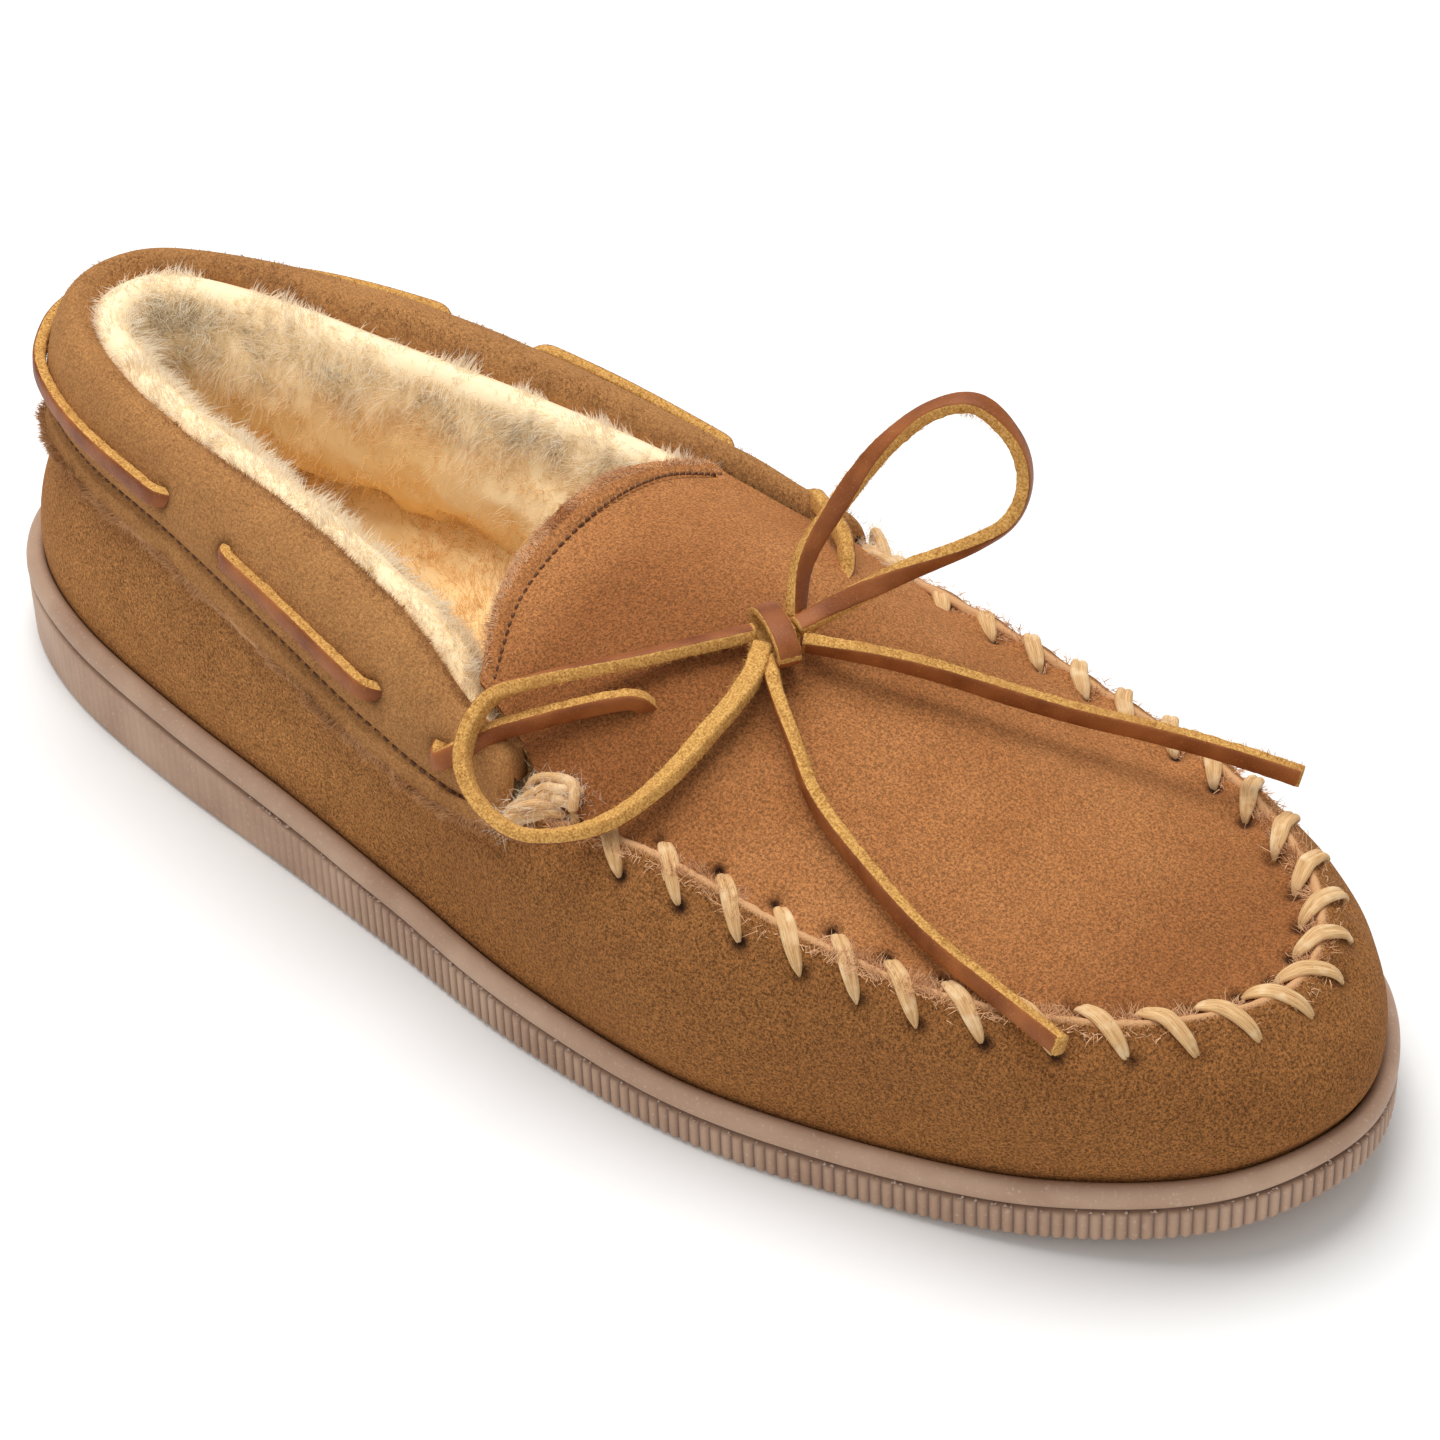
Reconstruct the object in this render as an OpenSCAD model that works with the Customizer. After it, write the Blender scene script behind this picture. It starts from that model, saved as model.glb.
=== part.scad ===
// Moccasin slipper, right foot: suede wrap and plug, rolled collar, fleece inside, rubber outsole.
// Millimetres. Control rows are measured from the heel; place() moves them to the shared frame.

/* [Outsole] */
// height of the lip top at the heel
heel_lip_z = 15.5; // [10:0.5:22]
// height of the lip top at the ball of the foot
fore_lip_z = 8.8; // [6:0.2:14]
// lift of the toe end above the ground
toe_spring = 9; // [0:0.5:14]
// depth of the tray inside the lip
lip_depth = 4; // [2:0.5:7]
// depth of the groove under the lip
groove_d = 1.3; // [0.5:0.1:2]
// distance between ribs on the forefoot wall
rib_pitch = 3.6; // [2:0.2:6]
// depth of the ribs
rib_d = 0.5; // [0.2:0.1:1]

/* [Upper] */
// thickness of the suede
suede_t = 1.5; // [1:0.1:2]
// thickness of the fleece lining
fleece_t = 6; // [4:0.5:8]
// height of the plug crown above its seam at the instep
plug_crown = 9.5; // [6:0.5:16]
// depth of the collar overlap below its stitch line
collar_overlap = 4; // [2:0.5:6]

/* [Footbed] */
// thickness of the insole board
board_t = 1.5; // [1:0.1:3]
// thickness of the foam
foam_t = 3; // [2:0.5:6]
// thickness of the fleece on the footbed
footbed_t = 5; // [3:0.5:8]

/* [Lace and thread] */
// width of the lace
lace_w = 3.4; // [2.5:0.1:4.5]
// thickness of the lace
lace_t = 2.4; // [1.5:0.1:3]
// radius of one whipstitch strand at its middle
strand_r = 0.9; // [0.5:0.1:1.2]
// length of one machine stitch
stitch_l = 2.4; // [1.5:0.1:4]

/* [Hidden] */
gap = 0.2;
mid_x = 151;
mid_y = -1;
base = 2;
hinge_x = 157;
hinge_z = 63.2;
last_margin = 15;
wall_in = 3.5;

// outline of the outsole at the lip: heel, outer side, toe, inner side
SOLE = [
  [9, 0], [12, -12], [23, -23.5], [43, -32.5], [72, -38.5], [102, -42.5],
  [132, -47], [164, -52], [200, -52.5], [234, -45], [262, -35.5], [284, -21],
  [293, -1], [288, 18], [272, 37], [247, 47], [215, 51], [184, 47.5],
  [154, 40], [124, 36], [94, 35], [65, 36], [37, 31.5], [15, 17]
];
// collar stitch line at the rear, whipstitched seam at the front
SEAM = [
  [20, 0, 47.5], [22.5, -8, 47.5], [30, -16.5, 48], [47, -24.5, 49],
  [73, -31, 49.5], [100, -36.5, 46.3], [126, -41, 41.5], [152, -44, 39.5],
  [184, -42.5, 44.5], [214, -40.5, 41.5], [241, -36, 39.5], [266, -21.5, 37.5],
  [278, 1, 35.5], [269, 21, 36.5], [245, 34, 37.5], [217, 37.5, 39.5],
  [187, 38.5, 43], [156, 42, 40.5], [130, 42.5, 41.5], [104, 40.5, 46.3],
  [76, 36.5, 49.5], [49, 30, 49], [31, 19.5, 48], [22.5, 9, 47.5]
];
// inner edge of the rolled collar; only its rear rows are used
RIM = [
  [28, 0, 66], [30, -7, 65.5], [38, -13.5, 64.5], [53, -18.5, 63],
  [78, -22.5, 61.5], [104, -26.5, 59.5], [128, -31, 55.5], [149, -36, 49],
  [184, -36, 46], [214, -36, 41], [240, -30, 38], [262, -18, 37],
  [270, 1, 36], [263, 20, 37], [240, 30, 38], [215, 36, 41],
  [186, 36, 46], [152, 37, 49], [130, 32.5, 55.5], [104, 27.5, 59.5],
  [78, 23, 61.5], [53, 19, 63], [38, 14, 64.5], [30, 7.5, 65.5]
];
// side edges of the tongue and plug, rear to toe corner; then the toe edge; then the rear edge
SIDE_OUT = [
  [141, -31, 51], [154, -35.5, 48.5], [168, -39.3, 47], [184, -41.3, 44.5],
  [199, -41, 42.7], [214, -39.3, 41.5], [228, -37.4, 40.3], [241, -34.8, 39.5],
  [252, -30.2, 38.6]
];
SIDE_IN = [
  [135, 33.5, 55], [152, 36, 50.5], [170, 37, 46.3], [187, 37.3, 43],
  [202, 37, 41], [217, 36.3, 39.5], [232, 34.9, 38.4], [245, 32.8, 37.5],
  [256, 28.6, 37]
];
TOE_EDGE = [
  [252, -30.2, 38.6], [265, -20.4, 37.5], [273.4, -10.5, 36.4], [276.8, 1, 35.5],
  [274.3, 12.5, 35.9], [267.9, 20.4, 36.5], [256, 28.6, 37]
];
REAR_EDGE = [
  [141, -31, 51], [134.5, -17, 59.5], [132, 2, 63.5], [131.5, 20, 61], [135, 33.5, 55]
];

// routes of the lace: knot, loops and tails; points are x, y, z from the heel
KNOT = [182, -5, 63.4];
LOOP_OUT = [
  [179, -6.5, 63.5], [168, -22, 62.5], [157, -33, 60], [151, -39.5, 57], [152, -47, 52],
  [158, -51.5, 48.5], [167, -52.5, 46.5], [174, -49, 47], [179.5, -43, 49],
  [183.5, -35, 53.5], [185, -26, 58], [185, -16, 61.5], [182, -8, 63]
];
LOOP_IN = [
  [182, 0, 64], [180, 5, 71.5], [182.5, 11.5, 80.5], [186, 17.5, 88.5], [191, 23.5, 94.5],
  [197, 28, 96], [203.5, 29, 91.5], [206.5, 28, 85.5], [206.5, 24.5, 80], [202.5, 20, 76],
  [194, 12, 71], [187, 4, 66], [184, -2, 64]
];
TAIL_OUT = [
  [184, -9, 61.5], [189, -13.5, 60.5], [197, -19, 57.5], [206, -24.5, 53.5],
  [219.5, -28.5, 48.8], [233, -31.5, 45], [248, -33.2, 42.6], [261.5, -35.8, 42]
];
TAIL_IN = [
  [186, -3, 62.5], [196.5, 3, 61], [205, 8, 58.8], [214, 12.5, 56.3],
  [224, 18.5, 53], [233.5, 25, 50], [244.5, 31.5, 46.8], [255.5, 36.5, 44]
];

UP = [0, 0, 1];
function unit(v) = v / norm(v);
function mix(a, b, t) = a * (1 - t) + b * t;
function clamp(x) = min(max(x, 0), 1);
function ease(x) = clamp(x) * clamp(x) * (3 - 2 * clamp(x));
function steps(a, b, n) = [for (i = [0:n]) a + (b - a) * i / n];
function wrap_i(i, n) = ((i % n) + n) % n;
function spline4(p0, p1, p2, p3, t) =
  0.5 * (2 * p1 + (p2 - p0) * t + (2 * p0 - 5 * p1 + 4 * p2 - p3) * t * t
  + (3 * p1 - p0 - 3 * p2 + p3) * t * t * t);
// point on a closed row list at station s
function loop(rows, s) =
  let(n = len(rows), i = floor(s), t = s - i)
  spline4(rows[wrap_i(i - 1, n)], rows[wrap_i(i, n)], rows[wrap_i(i + 1, n)],
    rows[wrap_i(i + 2, n)], t);
// point on an open row list, t from 0 to 1
function along(rows, t) =
  let(n = len(rows) - 1, u = clamp(t) * n, i = min(floor(u), n - 1))
  let(p0 = i > 0 ? rows[i - 1] : 2 * rows[0] - rows[1])
  let(p3 = i < n - 1 ? rows[i + 2] : 2 * rows[n] - rows[n - 1])
  spline4(p0, rows[i], rows[i + 1], p3, u - i);
function bezier(a, b, c, d, t) =
  a * pow(1 - t, 3) + 3 * b * t * pow(1 - t, 2) + 3 * c * t * t * (1 - t) + d * pow(t, 3);
// horizontal outward direction of a closed row list at station s
function outward(rows, s) =
  let(d = loop(rows, s + 0.01) - loop(rows, s - 0.01), l = norm([d.x, d.y]))
  [d.y / l, -d.x / l, 0];
function station_from_heel(s) = 12 - abs(wrap_i(s, 24) - 12);
function frontness(s) = ease((station_from_heel(s) - 6.2) / 1.6);
function heelness(s) = 1 - ease((station_from_heel(s) - 2.6) / 0.8);

function toe_lift(x) = toe_spring * pow(max(x - 222, 0) / 70, 2);
function lip_z(x) =
  fore_lip_z + (heel_lip_z - fore_lip_z) * (1 - ease((x - 30) / 180)) + toe_lift(x);
function floor_z(x) = lip_z(x) - lip_depth;
// point inset from the sole outline, dz above the tray floor
function tray(s, inset, dz) =
  let(p = loop(SOLE, s), n = outward(SOLE, s), x = p.x - inset * n.x)
  [x, p.y - inset * n.y, floor_z(x) + dz];
function sole_pt(s, inset, z) =
  let(p = loop(SOLE, s), n = outward(SOLE, s)) [p.x - inset * n.x, p.y - inset * n.y, z];

// outer skin of the wrap: v is 0 at the lip and 1 at the seam
WRAP = function(s, v)
  let(a = tray(s, wall_in, lip_depth - 0.5), d = loop(SEAM, s), f = frontness(s))
  let(n = outward(SOLE, s), h = d.z - a.z)
  bezier(a, a + UP * h * 0.42 + n * (0.5 + 4 * f),
    d - UP * h * (0.3 - 0.22 * f) + n * (0.5 + 8.5 * f), d, v);
// outer skin of the rolled collar: t is 0 at the stitch line and 1 at the inner edge
COLLAR = function(s, t)
  let(n = outward(SEAM, s), a = loop(SEAM, s) + n * (suede_t + 0.1), d = loop(RIM, s), h = d.z - a.z)
  bezier(a, a + UP * h * 0.7 + n * 1.5, d + UP * 7 + n * 5, d, t);
// outer skin of the lining: from the board up to the collar edge or the seam
function lining_in(s) = suede_t + 0.3 + 1.9 * heelness(s);
LINING = function(s, v)
  let(d = -lining_in(s), f = frontness(s), rim = loop(RIM, s) - outward(SOLE, s) * 0.5 - UP * 1)
  skin(WRAP, s, 0.04 + 0.9 * v, d) + (1 - f) * pow(max(v, 0), 1.5) * (rim - skin(WRAP, s, 0.94, d));
// plug and tongue skin: a runs rear to toe, c runs outer side to inner side
SPLIT = 0.19;
function crown(a) = plug_crown * (1 - ease((a - 0.1) / 1.05)) * (1 - pow(a, 6)) * ease(a / 0.3 + 0.0);
PLUG = function(a, c)
  let(l = along(SIDE_OUT, a), m = along(SIDE_IN, a))
  let(r = along(REAR_EDGE, c), t = along(TOE_EDGE, c))
  let(corner = mix(mix(SIDE_OUT[0], SIDE_IN[0], c), mix(SIDE_OUT[8], SIDE_IN[8], c), a))
  mix(l, m, c) + mix(r, t, a) - corner + UP * crown(a) * (1 - pow(abs(2 * c - 1), 2.2));
// skin point moved d along the surface normal
function skin(f, s, v, d) =
  let(e = 0.004, u = f(s + e, v) - f(s - e, v), w = f(s, v + e) - f(s, v - e))
  f(s, v) + d * unit(cross(u, w));
// station list with an even number of columns
FINE = [for (i = [0:23]) for (k = [0:2]) i + k / 3];
COARSE = steps(0, 23.6, 59);

module place() {
  translate([-mid_x, -mid_y, base])
    children();
}

// solid through rings of equal even length; closed joins the last ring to the first
module sweep(rings, closed = false, flip = false) {
  n = len(rings);
  m = len(rings[0]);
  last = closed ? n - 1 : n - 2;
  side = [
    for (i = [0:last]) for (j = [0:m - 1])
    let(a = i * m + j, b = i * m + (j + 1) % m)
    let(c = ((i + 1) % n) * m + (j + 1) % m, d = ((i + 1) % n) * m + j)
    each [[a, b, c], [a, c, d]]
  ];
  cap = closed ? [] : [
    for (e = [0, 1]) for (k = [0:m / 2 - 2])
    let(o = e * (n - 1) * m, a = o + k, b = o + k + 1, c = o + m - 2 - k, d = o + m - 1 - k)
    each (e == 0 ? [[a, c, b], [a, d, c]] : [[a, b, c], [a, c, d]])
  ];
  faces = concat(side, cap);
  turned = [for (f = faces) [f[2], f[1], f[0]]];
  polyhedron(points = [for (r = rings) each r], faces = flip ? turned : faces, convexity = 6);
}

// shell between two depths of a skin function
function shell_ring(f, s, vs, d0, d1) = concat(
  [for (v = vs) skin(f, s, v, d0)],
  [for (i = [len(vs) - 1:-1:0]) skin(f, s, vs[i], d1)]
);

// flat-section bar: rings across a route, w wide and t thick, with rounded corners
function frame_side(rows, t) =
  let(e = 0.004, d = along(rows, t + e) - along(rows, t - e)) unit(d);
function lace_ring(p, dir, up, w, t) =
  let(x = unit(cross(dir, up)), y = unit(cross(x, dir)), a = w / 2, b = t / 2, k = 0.6)
  [p + x * a + y * b * k, p + x * a * k + y * b, p - x * a * k + y * b, p - x * a + y * b * k,
    p - x * a - y * b * k, p - x * a * k - y * b, p + x * a * k - y * b, p + x * a - y * b * k];
function lace_rings(rows, n, w, t, up) = [
  for (i = [0:n])
  let(u = i / n) lace_ring(along(rows, u), frame_side(rows, u), up, w, t)
];

module plate(inset, z0, z1, cols) {
  sweep([for (z = [z0, z1]) [for (s = cols) tray(s, inset, z)]], flip = true);
}

function rib_cols() = [
  for (i = [0:23])
  let(len_mm = norm(loop(SOLE, i + 1) - loop(SOLE, i)))
  let(ribbed = i >= 5 && i < 19, n = ribbed ? round(len_mm / rib_pitch) * 2 : 3)
  for (k = [0:n - 1]) [i + k / n, ribbed && k % 2 == 1 ? 1 : 0]
];
module outsole() {
  cols = rib_cols();
  even = len(cols) % 2 == 0 ? cols : concat(cols, [[23.9, 0]]);
  levels = [
    [0.6, 0, 0, 0], [0, 1, 0, 1], [0, 0, -4.8, 1], [groove_d, 0, -4.2, 0],
    [0.3, 0, -3.6, 0], [0, 0, -2, 0], [1.1, 0, 0, 0], [2.6, 0, -0.6, 0], [3.2, 0, -4, 0]
  ];
  color("#a58474")
    place()
      sweep([
        for (q = [0:8])
        let(l = levels[q])
        [for (c = even)
          let(cut = l[0] + l[3] * c[1] * rib_d, x = sole_pt(c[0], cut, 0).x)
          sole_pt(c[0], cut, q < 2 ? toe_lift(x) + l[1] - base : lip_z(x) + l[2])]
      ], flip = true);
}

module bottom_filler() {
  color("#b9a58c")
    place()
      plate(wall_in + last_margin + 0.5, 0.15, 1.6, COARSE);
}

module insole_board() {
  color("#c8b79a")
    place()
      plate(wall_in + suede_t + 1.4, 1.85, 1.85 + board_t, COARSE);
}

module footbed_foam() {
  color("#ded8c8")
    place()
      plate(13.4, 2.05 + board_t, 2.05 + board_t + foam_t, COARSE);
}

module footbed_fleece() {
  z0 = 2.25 + board_t + foam_t;
  color("#ecdcb8")
    place()
      plate(14.1, z0, z0 + footbed_t, COARSE);
}

// the suede turns in under the foot, then rises to the seam
WALL_V = [0, 0.12, 0.25, 0.4, 0.55, 0.7, 0.83, 0.93, 1];
module moccasin_wrap() {
  color("#8a5d2c")
    place()
      sweep([
        for (s = FINE)
        concat(
          [tray(s, wall_in + last_margin, 0.15), tray(s, wall_in + 0.8, 0.15)],
          [for (v = WALL_V) WRAP(s, v)],
          [for (i = [8:-1:0]) skin(WRAP, s, WALL_V[i], -suede_t)],
          [tray(s, wall_in + 0.8 + suede_t, 1.65), tray(s, wall_in + last_margin, 1.65)]
        )
      ], closed = true);
}

module heel_counter() {
  color("#c9b08a")
    place()
      sweep([
        for (s = steps(-2.1, 2.1, 12))
        shell_ring(WRAP, s, steps(0.08, 0.82, 5), -suede_t - 0.2, -suede_t - 1.1)
      ]);
}

LINING_V = [0, 0.15, 0.32, 0.5, 0.68, 0.84, 0.94, 1];
module wrap_lining() {
  color("#eadbb9")
    place()
      sweep([
        for (s = FINE)
        concat(
          [for (v = LINING_V) LINING(s, v)],
          [for (i = [7:-1:0]) skin(LINING, s, LINING_V[i], -fleece_t * (1 - 0.6 * ease((LINING_V[i] - 0.8) / 0.2)))]
        )
      ], closed = true);
}

COLLAR_END = 7.1;
COLLAR_T = [0, 0.14, 0.28, 0.42, 0.56, 0.7, 0.85, 1];
module collar_band() {
  low = 1 - collar_overlap / 34;
  color("#9c6a3c")
    place()
      sweep([
        for (s = steps(-COLLAR_END, COLLAR_END, 44))
        concat(
          [skin(WRAP, s, low, suede_t + 0.1), skin(WRAP, s, (1 + low) / 2, suede_t + 0.1)],
          [for (t = COLLAR_T) COLLAR(s, t)],
          [for (i = [7:-1:0]) skin(COLLAR, s, COLLAR_T[i], -suede_t + 0.05)],
          [skin(WRAP, s, (1 + low) / 2, 0.15), skin(WRAP, s, low, 0.15)]
        )
      ]);
}

module collar_padding() {
  depth = suede_t + 0.55;
  color("#e6dcc4")
    place()
      sweep([
        for (s = steps(-COLLAR_END + 0.3, COLLAR_END - 0.3, 40))
        let(a = skin(COLLAR, s, 0.25, -depth), b = skin(COLLAR, s, 0.88, -depth))
        concat(
          [for (t = steps(0.25, 0.88, 4)) skin(COLLAR, s, t, -depth)],
          [for (k = [4:-1:0]) mix(a, b, k / 4) - outward(SEAM, s) * 0.8]
        )
      ]);
}

module heel_strap() {
  color("#94622f")
    place()
      sweep([
        for (s = steps(-0.42, 0.42, 4))
        shell_ring(WRAP, s, steps(0.1, 0.84, 6), suede_t, 0.12)
      ]);
}

// sub-patch of the plug skin between two splits, inset from the sides
function patch_pt(a0, a1, side, u, c, d) =
  let(bow = pow(2 * c - 1, 2), a = mix(a0[0] - a0[1] * bow, a1[0] - a1[1] * bow, u))
  skin(PLUG, a, side + (1 - 2 * side) * c, d);
module plug_patch(a0, a1, side, d0, d1, nu, nc) {
  cs = steps(0, 1, nc);
  sweep([
    for (u = steps(0, 1, nu))
    concat(
      [for (c = cs) patch_pt(a0, a1, side, u, c, d0)],
      [for (i = [nc:-1:0]) patch_pt(a0, a1, side, u, cs[i], d1)]
    )
  ]);
}

FLAP_END = [0.183, 0.1];
PLUG_START = [0.192, 0.1];
module plug() {
  color("#a2693d")
    place()
      plug_patch(PLUG_START, [1, 0], 0, 0, -suede_t, 22, 12);
}

module plug_lining() {
  color("#eadbb9")
    place()
      plug_patch([0.2, 0.1], [0.96, 0], 0.07, -suede_t - 0.2, -suede_t - 4.7, 16, 10);
}

module tongue_flap() {
  color("#a2693d")
    place()
      plug_patch([0, 0], FLAP_END, 0, 0, -suede_t, 5, 12);
}

module tongue_lining() {
  color("#eadbb9")
    place()
      plug_patch([0.02, 0], [0.175, 0.1], 0.04, -suede_t - 0.2, -suede_t - 4.2, 5, 10);
}

// station of each whipstitch along the seam: a quadratic that keeps them about 10 mm apart
function stitch_station(i) = 7.84 + 0.378 * i - 0.00126 * i * i;

// two lens-shaped strands per whipstitch, over the seam from the wrap to the plug
function stitch_path(s, side) =
  let(n = outward(SEAM, s), d = unit(loop(SEAM, s + 0.02) - loop(SEAM, s - 0.02)))
  let(m = loop(SEAM, s) + d * side)
  [m + n * 4 - UP * 1.2 + d * 3.6, m + n * 2.3 + UP * 0.7 + d * 2.1, m + UP * 1.5,
    m - n * 2 + UP * 1.5 - d * 2.1, m - n * 3.4 + UP * 0.4 - d * 3.6];
module strand(path, r) {
  sweep([
    for (u = steps(0, 1, 3))
    let(p = along(path, u), d = frame_side(path, u), x = unit(cross(d, UP)), y = cross(x, d))
    let(k = r * (0.35 + 0.65 * sin(180 * u)))
    [for (a = [0:5]) p + k * (x * cos(60 * a) + y * sin(60 * a))]
  ]);
}
module plug_whipstitches() {
  color("#d9b583")
    place()
      for (i = [0:24])
        for (side = [-1, 1])
          strand(stitch_path(stitch_station(i), side * 0.95), strand_r);
}

module seam_knots() {
  color("#d9b583")
    place()
      for (s = [7.42, 16.6])
        translate(loop(SEAM, s) - outward(SEAM, s) * 1 + UP * 2.4)
          sphere(r = 2.2, $fn = 10);
}

// small bars laid on a skin along a line
module stitch_bar(a, b, n) {
  d = unit(b - a);
  x = unit(cross(d, n));
  sweep([
    for (p = [a, b])
    [p + x * 0.35 + n * 0.35, p - x * 0.35 + n * 0.35, p - x * 0.35 - n * 0.2, p + x * 0.35 - n * 0.2]
  ]);
}
module collar_stitching() {
  color("#4a2f1d")
    place()
      for (i = [0:95])
        let(s = -7 + 14 * i / 96, n = outward(SEAM, s))
          stitch_bar(COLLAR(s, 0.02), COLLAR(s + 0.1, 0.02), n);
}

module tongue_stitching() {
  color("#4a2f1d")
    place()
      for (i = [0:19])
        let(c = 0.06 + 0.88 * i / 20)
          stitch_bar(PLUG(0.03, c), PLUG(0.03, c + 0.028), UP);
}

module heel_strap_stitching() {
  color("#4a2f1d")
    place()
      for (side = [-0.3, 0.3])
        for (i = [0:7])
          let(v = 0.14 + 0.66 * i / 8, n = outward(SOLE, side))
            stitch_bar(skin(WRAP, side, v, suede_t + 0.1), skin(WRAP, side, v + 0.06, suede_t + 0.1), n);
}

// the lace shows outside the collar at the heel and once on each side, and hides between
function lace_depth(s) =
  let(a = abs(s))
  -2.1 + 2.9 * (1 - ease((a - 3.86) / 0.2) + ease((a - 4.5) / 0.2) - ease((a - 5.98) / 0.2)
  + ease((a - 6.62) / 0.2));
function collar_route() = [for (s = steps(-6.8, 6.8, 62)) skin(COLLAR, s, 0.27, lace_depth(s))];
STRAP_OUT = [
  [153, -40, 52], [162, -33.3, 56], [170.5, -27.3, 59], [174, -23, 56],
  [177.5, -15, 56.5], [180.5, -8, 58], [182, -5, 60.5]
];
STRAP_IN = [
  [155, 39, 52.5], [164, 32.5, 55.5], [171.5, 26, 58.5], [175, 21.5, 55.5],
  [178, 13, 56.5], [181, 5, 57.8], [182, -1, 60]
];
module collar_lace() {
  route = concat(
    [for (i = [6:-1:0]) STRAP_IN[i]], collar_route(), STRAP_OUT);
  n = len(route) - 1;
  color("#7d4527")
    place()
      sweep([
        for (i = [0:n])
        let(d = unit(route[min(i + 1, n)] - route[max(i - 1, 0)]))
        lace_ring(route[i], d, UP, lace_t, lace_w)
      ]);
}

module lace_knot() {
  color("#7d4527")
    place() {
      sweep([
        for (i = [0:15])
        let(a = 22.5 * i, p = KNOT + [5.2 * cos(a), -3 * cos(a), 3 * sin(a)])
        let(d = unit([-5.2 * sin(a), 3 * sin(a), 3 * cos(a)]))
        lace_ring(p, d, [0.5, 0.86, 0], lace_t * 0.7, lace_w + 1)
      ], closed = true);
    }
}

module bow_loop_outer() {
  color("#7d4527")
    place()
      sweep(lace_rings(LOOP_OUT, 20, lace_t, lace_w, UP));
}

module bow_loop_inner() {
  color("#7d4527")
    place()
      sweep(lace_rings(LOOP_IN, 20, lace_t, lace_w, unit([1, -0.7, 0.4])));
}

module lace_tail_outer() {
  color("#7d4527")
    place()
      sweep(lace_rings(TAIL_OUT, 14, lace_t, lace_w, UP));
}

module lace_tail_inner() {
  color("#7d4527")
    place()
      sweep(lace_rings(TAIL_IN, 14, lace_t, lace_w, UP));
}

outsole();
bottom_filler();
insole_board();
footbed_foam();
footbed_fleece();
moccasin_wrap();
heel_counter();
wrap_lining();
collar_band();
collar_padding();
heel_strap();
plug();
plug_lining();
tongue_flap();
tongue_lining();
plug_whipstitches();
seam_knots();
collar_stitching();
tongue_stitching();
heel_strap_stitching();
collar_lace();
lace_knot();
bow_loop_outer();
bow_loop_inner();
lace_tail_outer();
lace_tail_inner();
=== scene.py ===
import bpy
import numpy as np
from mathutils import Matrix


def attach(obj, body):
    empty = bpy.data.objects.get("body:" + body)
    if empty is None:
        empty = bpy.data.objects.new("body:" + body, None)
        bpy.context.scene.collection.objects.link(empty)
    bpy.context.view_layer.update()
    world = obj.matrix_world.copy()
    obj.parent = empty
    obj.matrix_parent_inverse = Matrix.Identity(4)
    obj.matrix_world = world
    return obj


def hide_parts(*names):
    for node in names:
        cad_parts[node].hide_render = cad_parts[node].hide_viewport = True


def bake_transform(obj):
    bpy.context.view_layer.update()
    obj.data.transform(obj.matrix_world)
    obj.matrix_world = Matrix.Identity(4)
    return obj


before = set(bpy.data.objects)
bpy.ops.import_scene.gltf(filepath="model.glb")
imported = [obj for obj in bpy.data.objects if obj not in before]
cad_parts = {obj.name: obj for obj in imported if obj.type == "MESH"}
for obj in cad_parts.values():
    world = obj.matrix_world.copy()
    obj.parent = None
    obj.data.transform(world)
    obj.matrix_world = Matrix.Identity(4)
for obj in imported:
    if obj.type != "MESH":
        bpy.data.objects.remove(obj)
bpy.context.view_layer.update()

# Camera: a long lens above the outer side, ahead of the toe.
camera = bpy.data.objects.new("camera", bpy.data.cameras.new("camera"))
bpy.context.scene.collection.objects.link(camera)
camera.data.sensor_width = 36
camera.data.lens = 121.42
camera.data.clip_start = 0.01
camera.matrix_world = Matrix((
    (0.77077763, -0.38148567, 0.51026515, 0.42338),
    (0.63646768, 0.4968597, -0.58994857, -0.47187),
    (-0.02847326, 0.77948644, 0.62577165, 0.53829),
    (0, 0, 0, 1),
))
bpy.context.scene.camera = camera
bpy.context.scene.view_settings.view_transform = "Standard"

# The bow: one strip of oil-tanned cowhide, cut 3.4 mm wide and 2.4 mm thick, with a smooth
# brown grain side; the flesh side and both cut edges are raw and golden. Lengths in mm
# are measured from the heel, as in the part; to_frame moves them to the shared frame.
LACE_W, LACE_T = 3.4, 2.4
PART_ORIGIN = np.array([-151.0, 1.0, 2.0])
SHOE, TONGUE = "shoe", "tongue"


def to_frame(points):
    """Heel-based millimetres plus the part's offset, over a thousand."""
    return (np.asarray(points, float) + PART_ORIGIN) / 1000


def unit(v):
    """Each vector over its length."""
    return v / np.maximum(np.linalg.norm(v, axis=-1, keepdims=True), 1e-9)


def ease(x):
    """S-curve 3x^2 - 2x^3 between 0 and 1, flat outside."""
    x = np.clip(x, 0, 1)
    return x * x * (3 - 2 * x)


def bell(x, width):
    """e to the minus square of x over width: 1 at zero, falling away on both sides."""
    return np.exp(-((x / width) ** 2))


def run_along(points):
    """Distance along each row of points, starting from 0."""
    steps = np.linalg.norm(np.diff(points, axis=-2), axis=-1)
    return np.cumsum(np.pad(steps, [(0, 0)] * (steps.ndim - 1) + [(1, 0)]), axis=-1)


def square_to(facing, way):
    """The part of facing that is square to way, over its length."""
    return unit(facing - (facing * way).sum(-1, keepdims=True) * way)


def spline(p0, p1, p2, p3, t):
    """Catmull-Rom: the cubic through p1 and p2 whose slopes are half the outer chords."""
    return 0.5 * (
        2 * p1 + (p2 - p0) * t + (2 * p0 - 5 * p1 + 4 * p2 - p3) * t**2
        + (3 * p1 - p0 - 3 * p2 + p3) * t**3
    )


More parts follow.
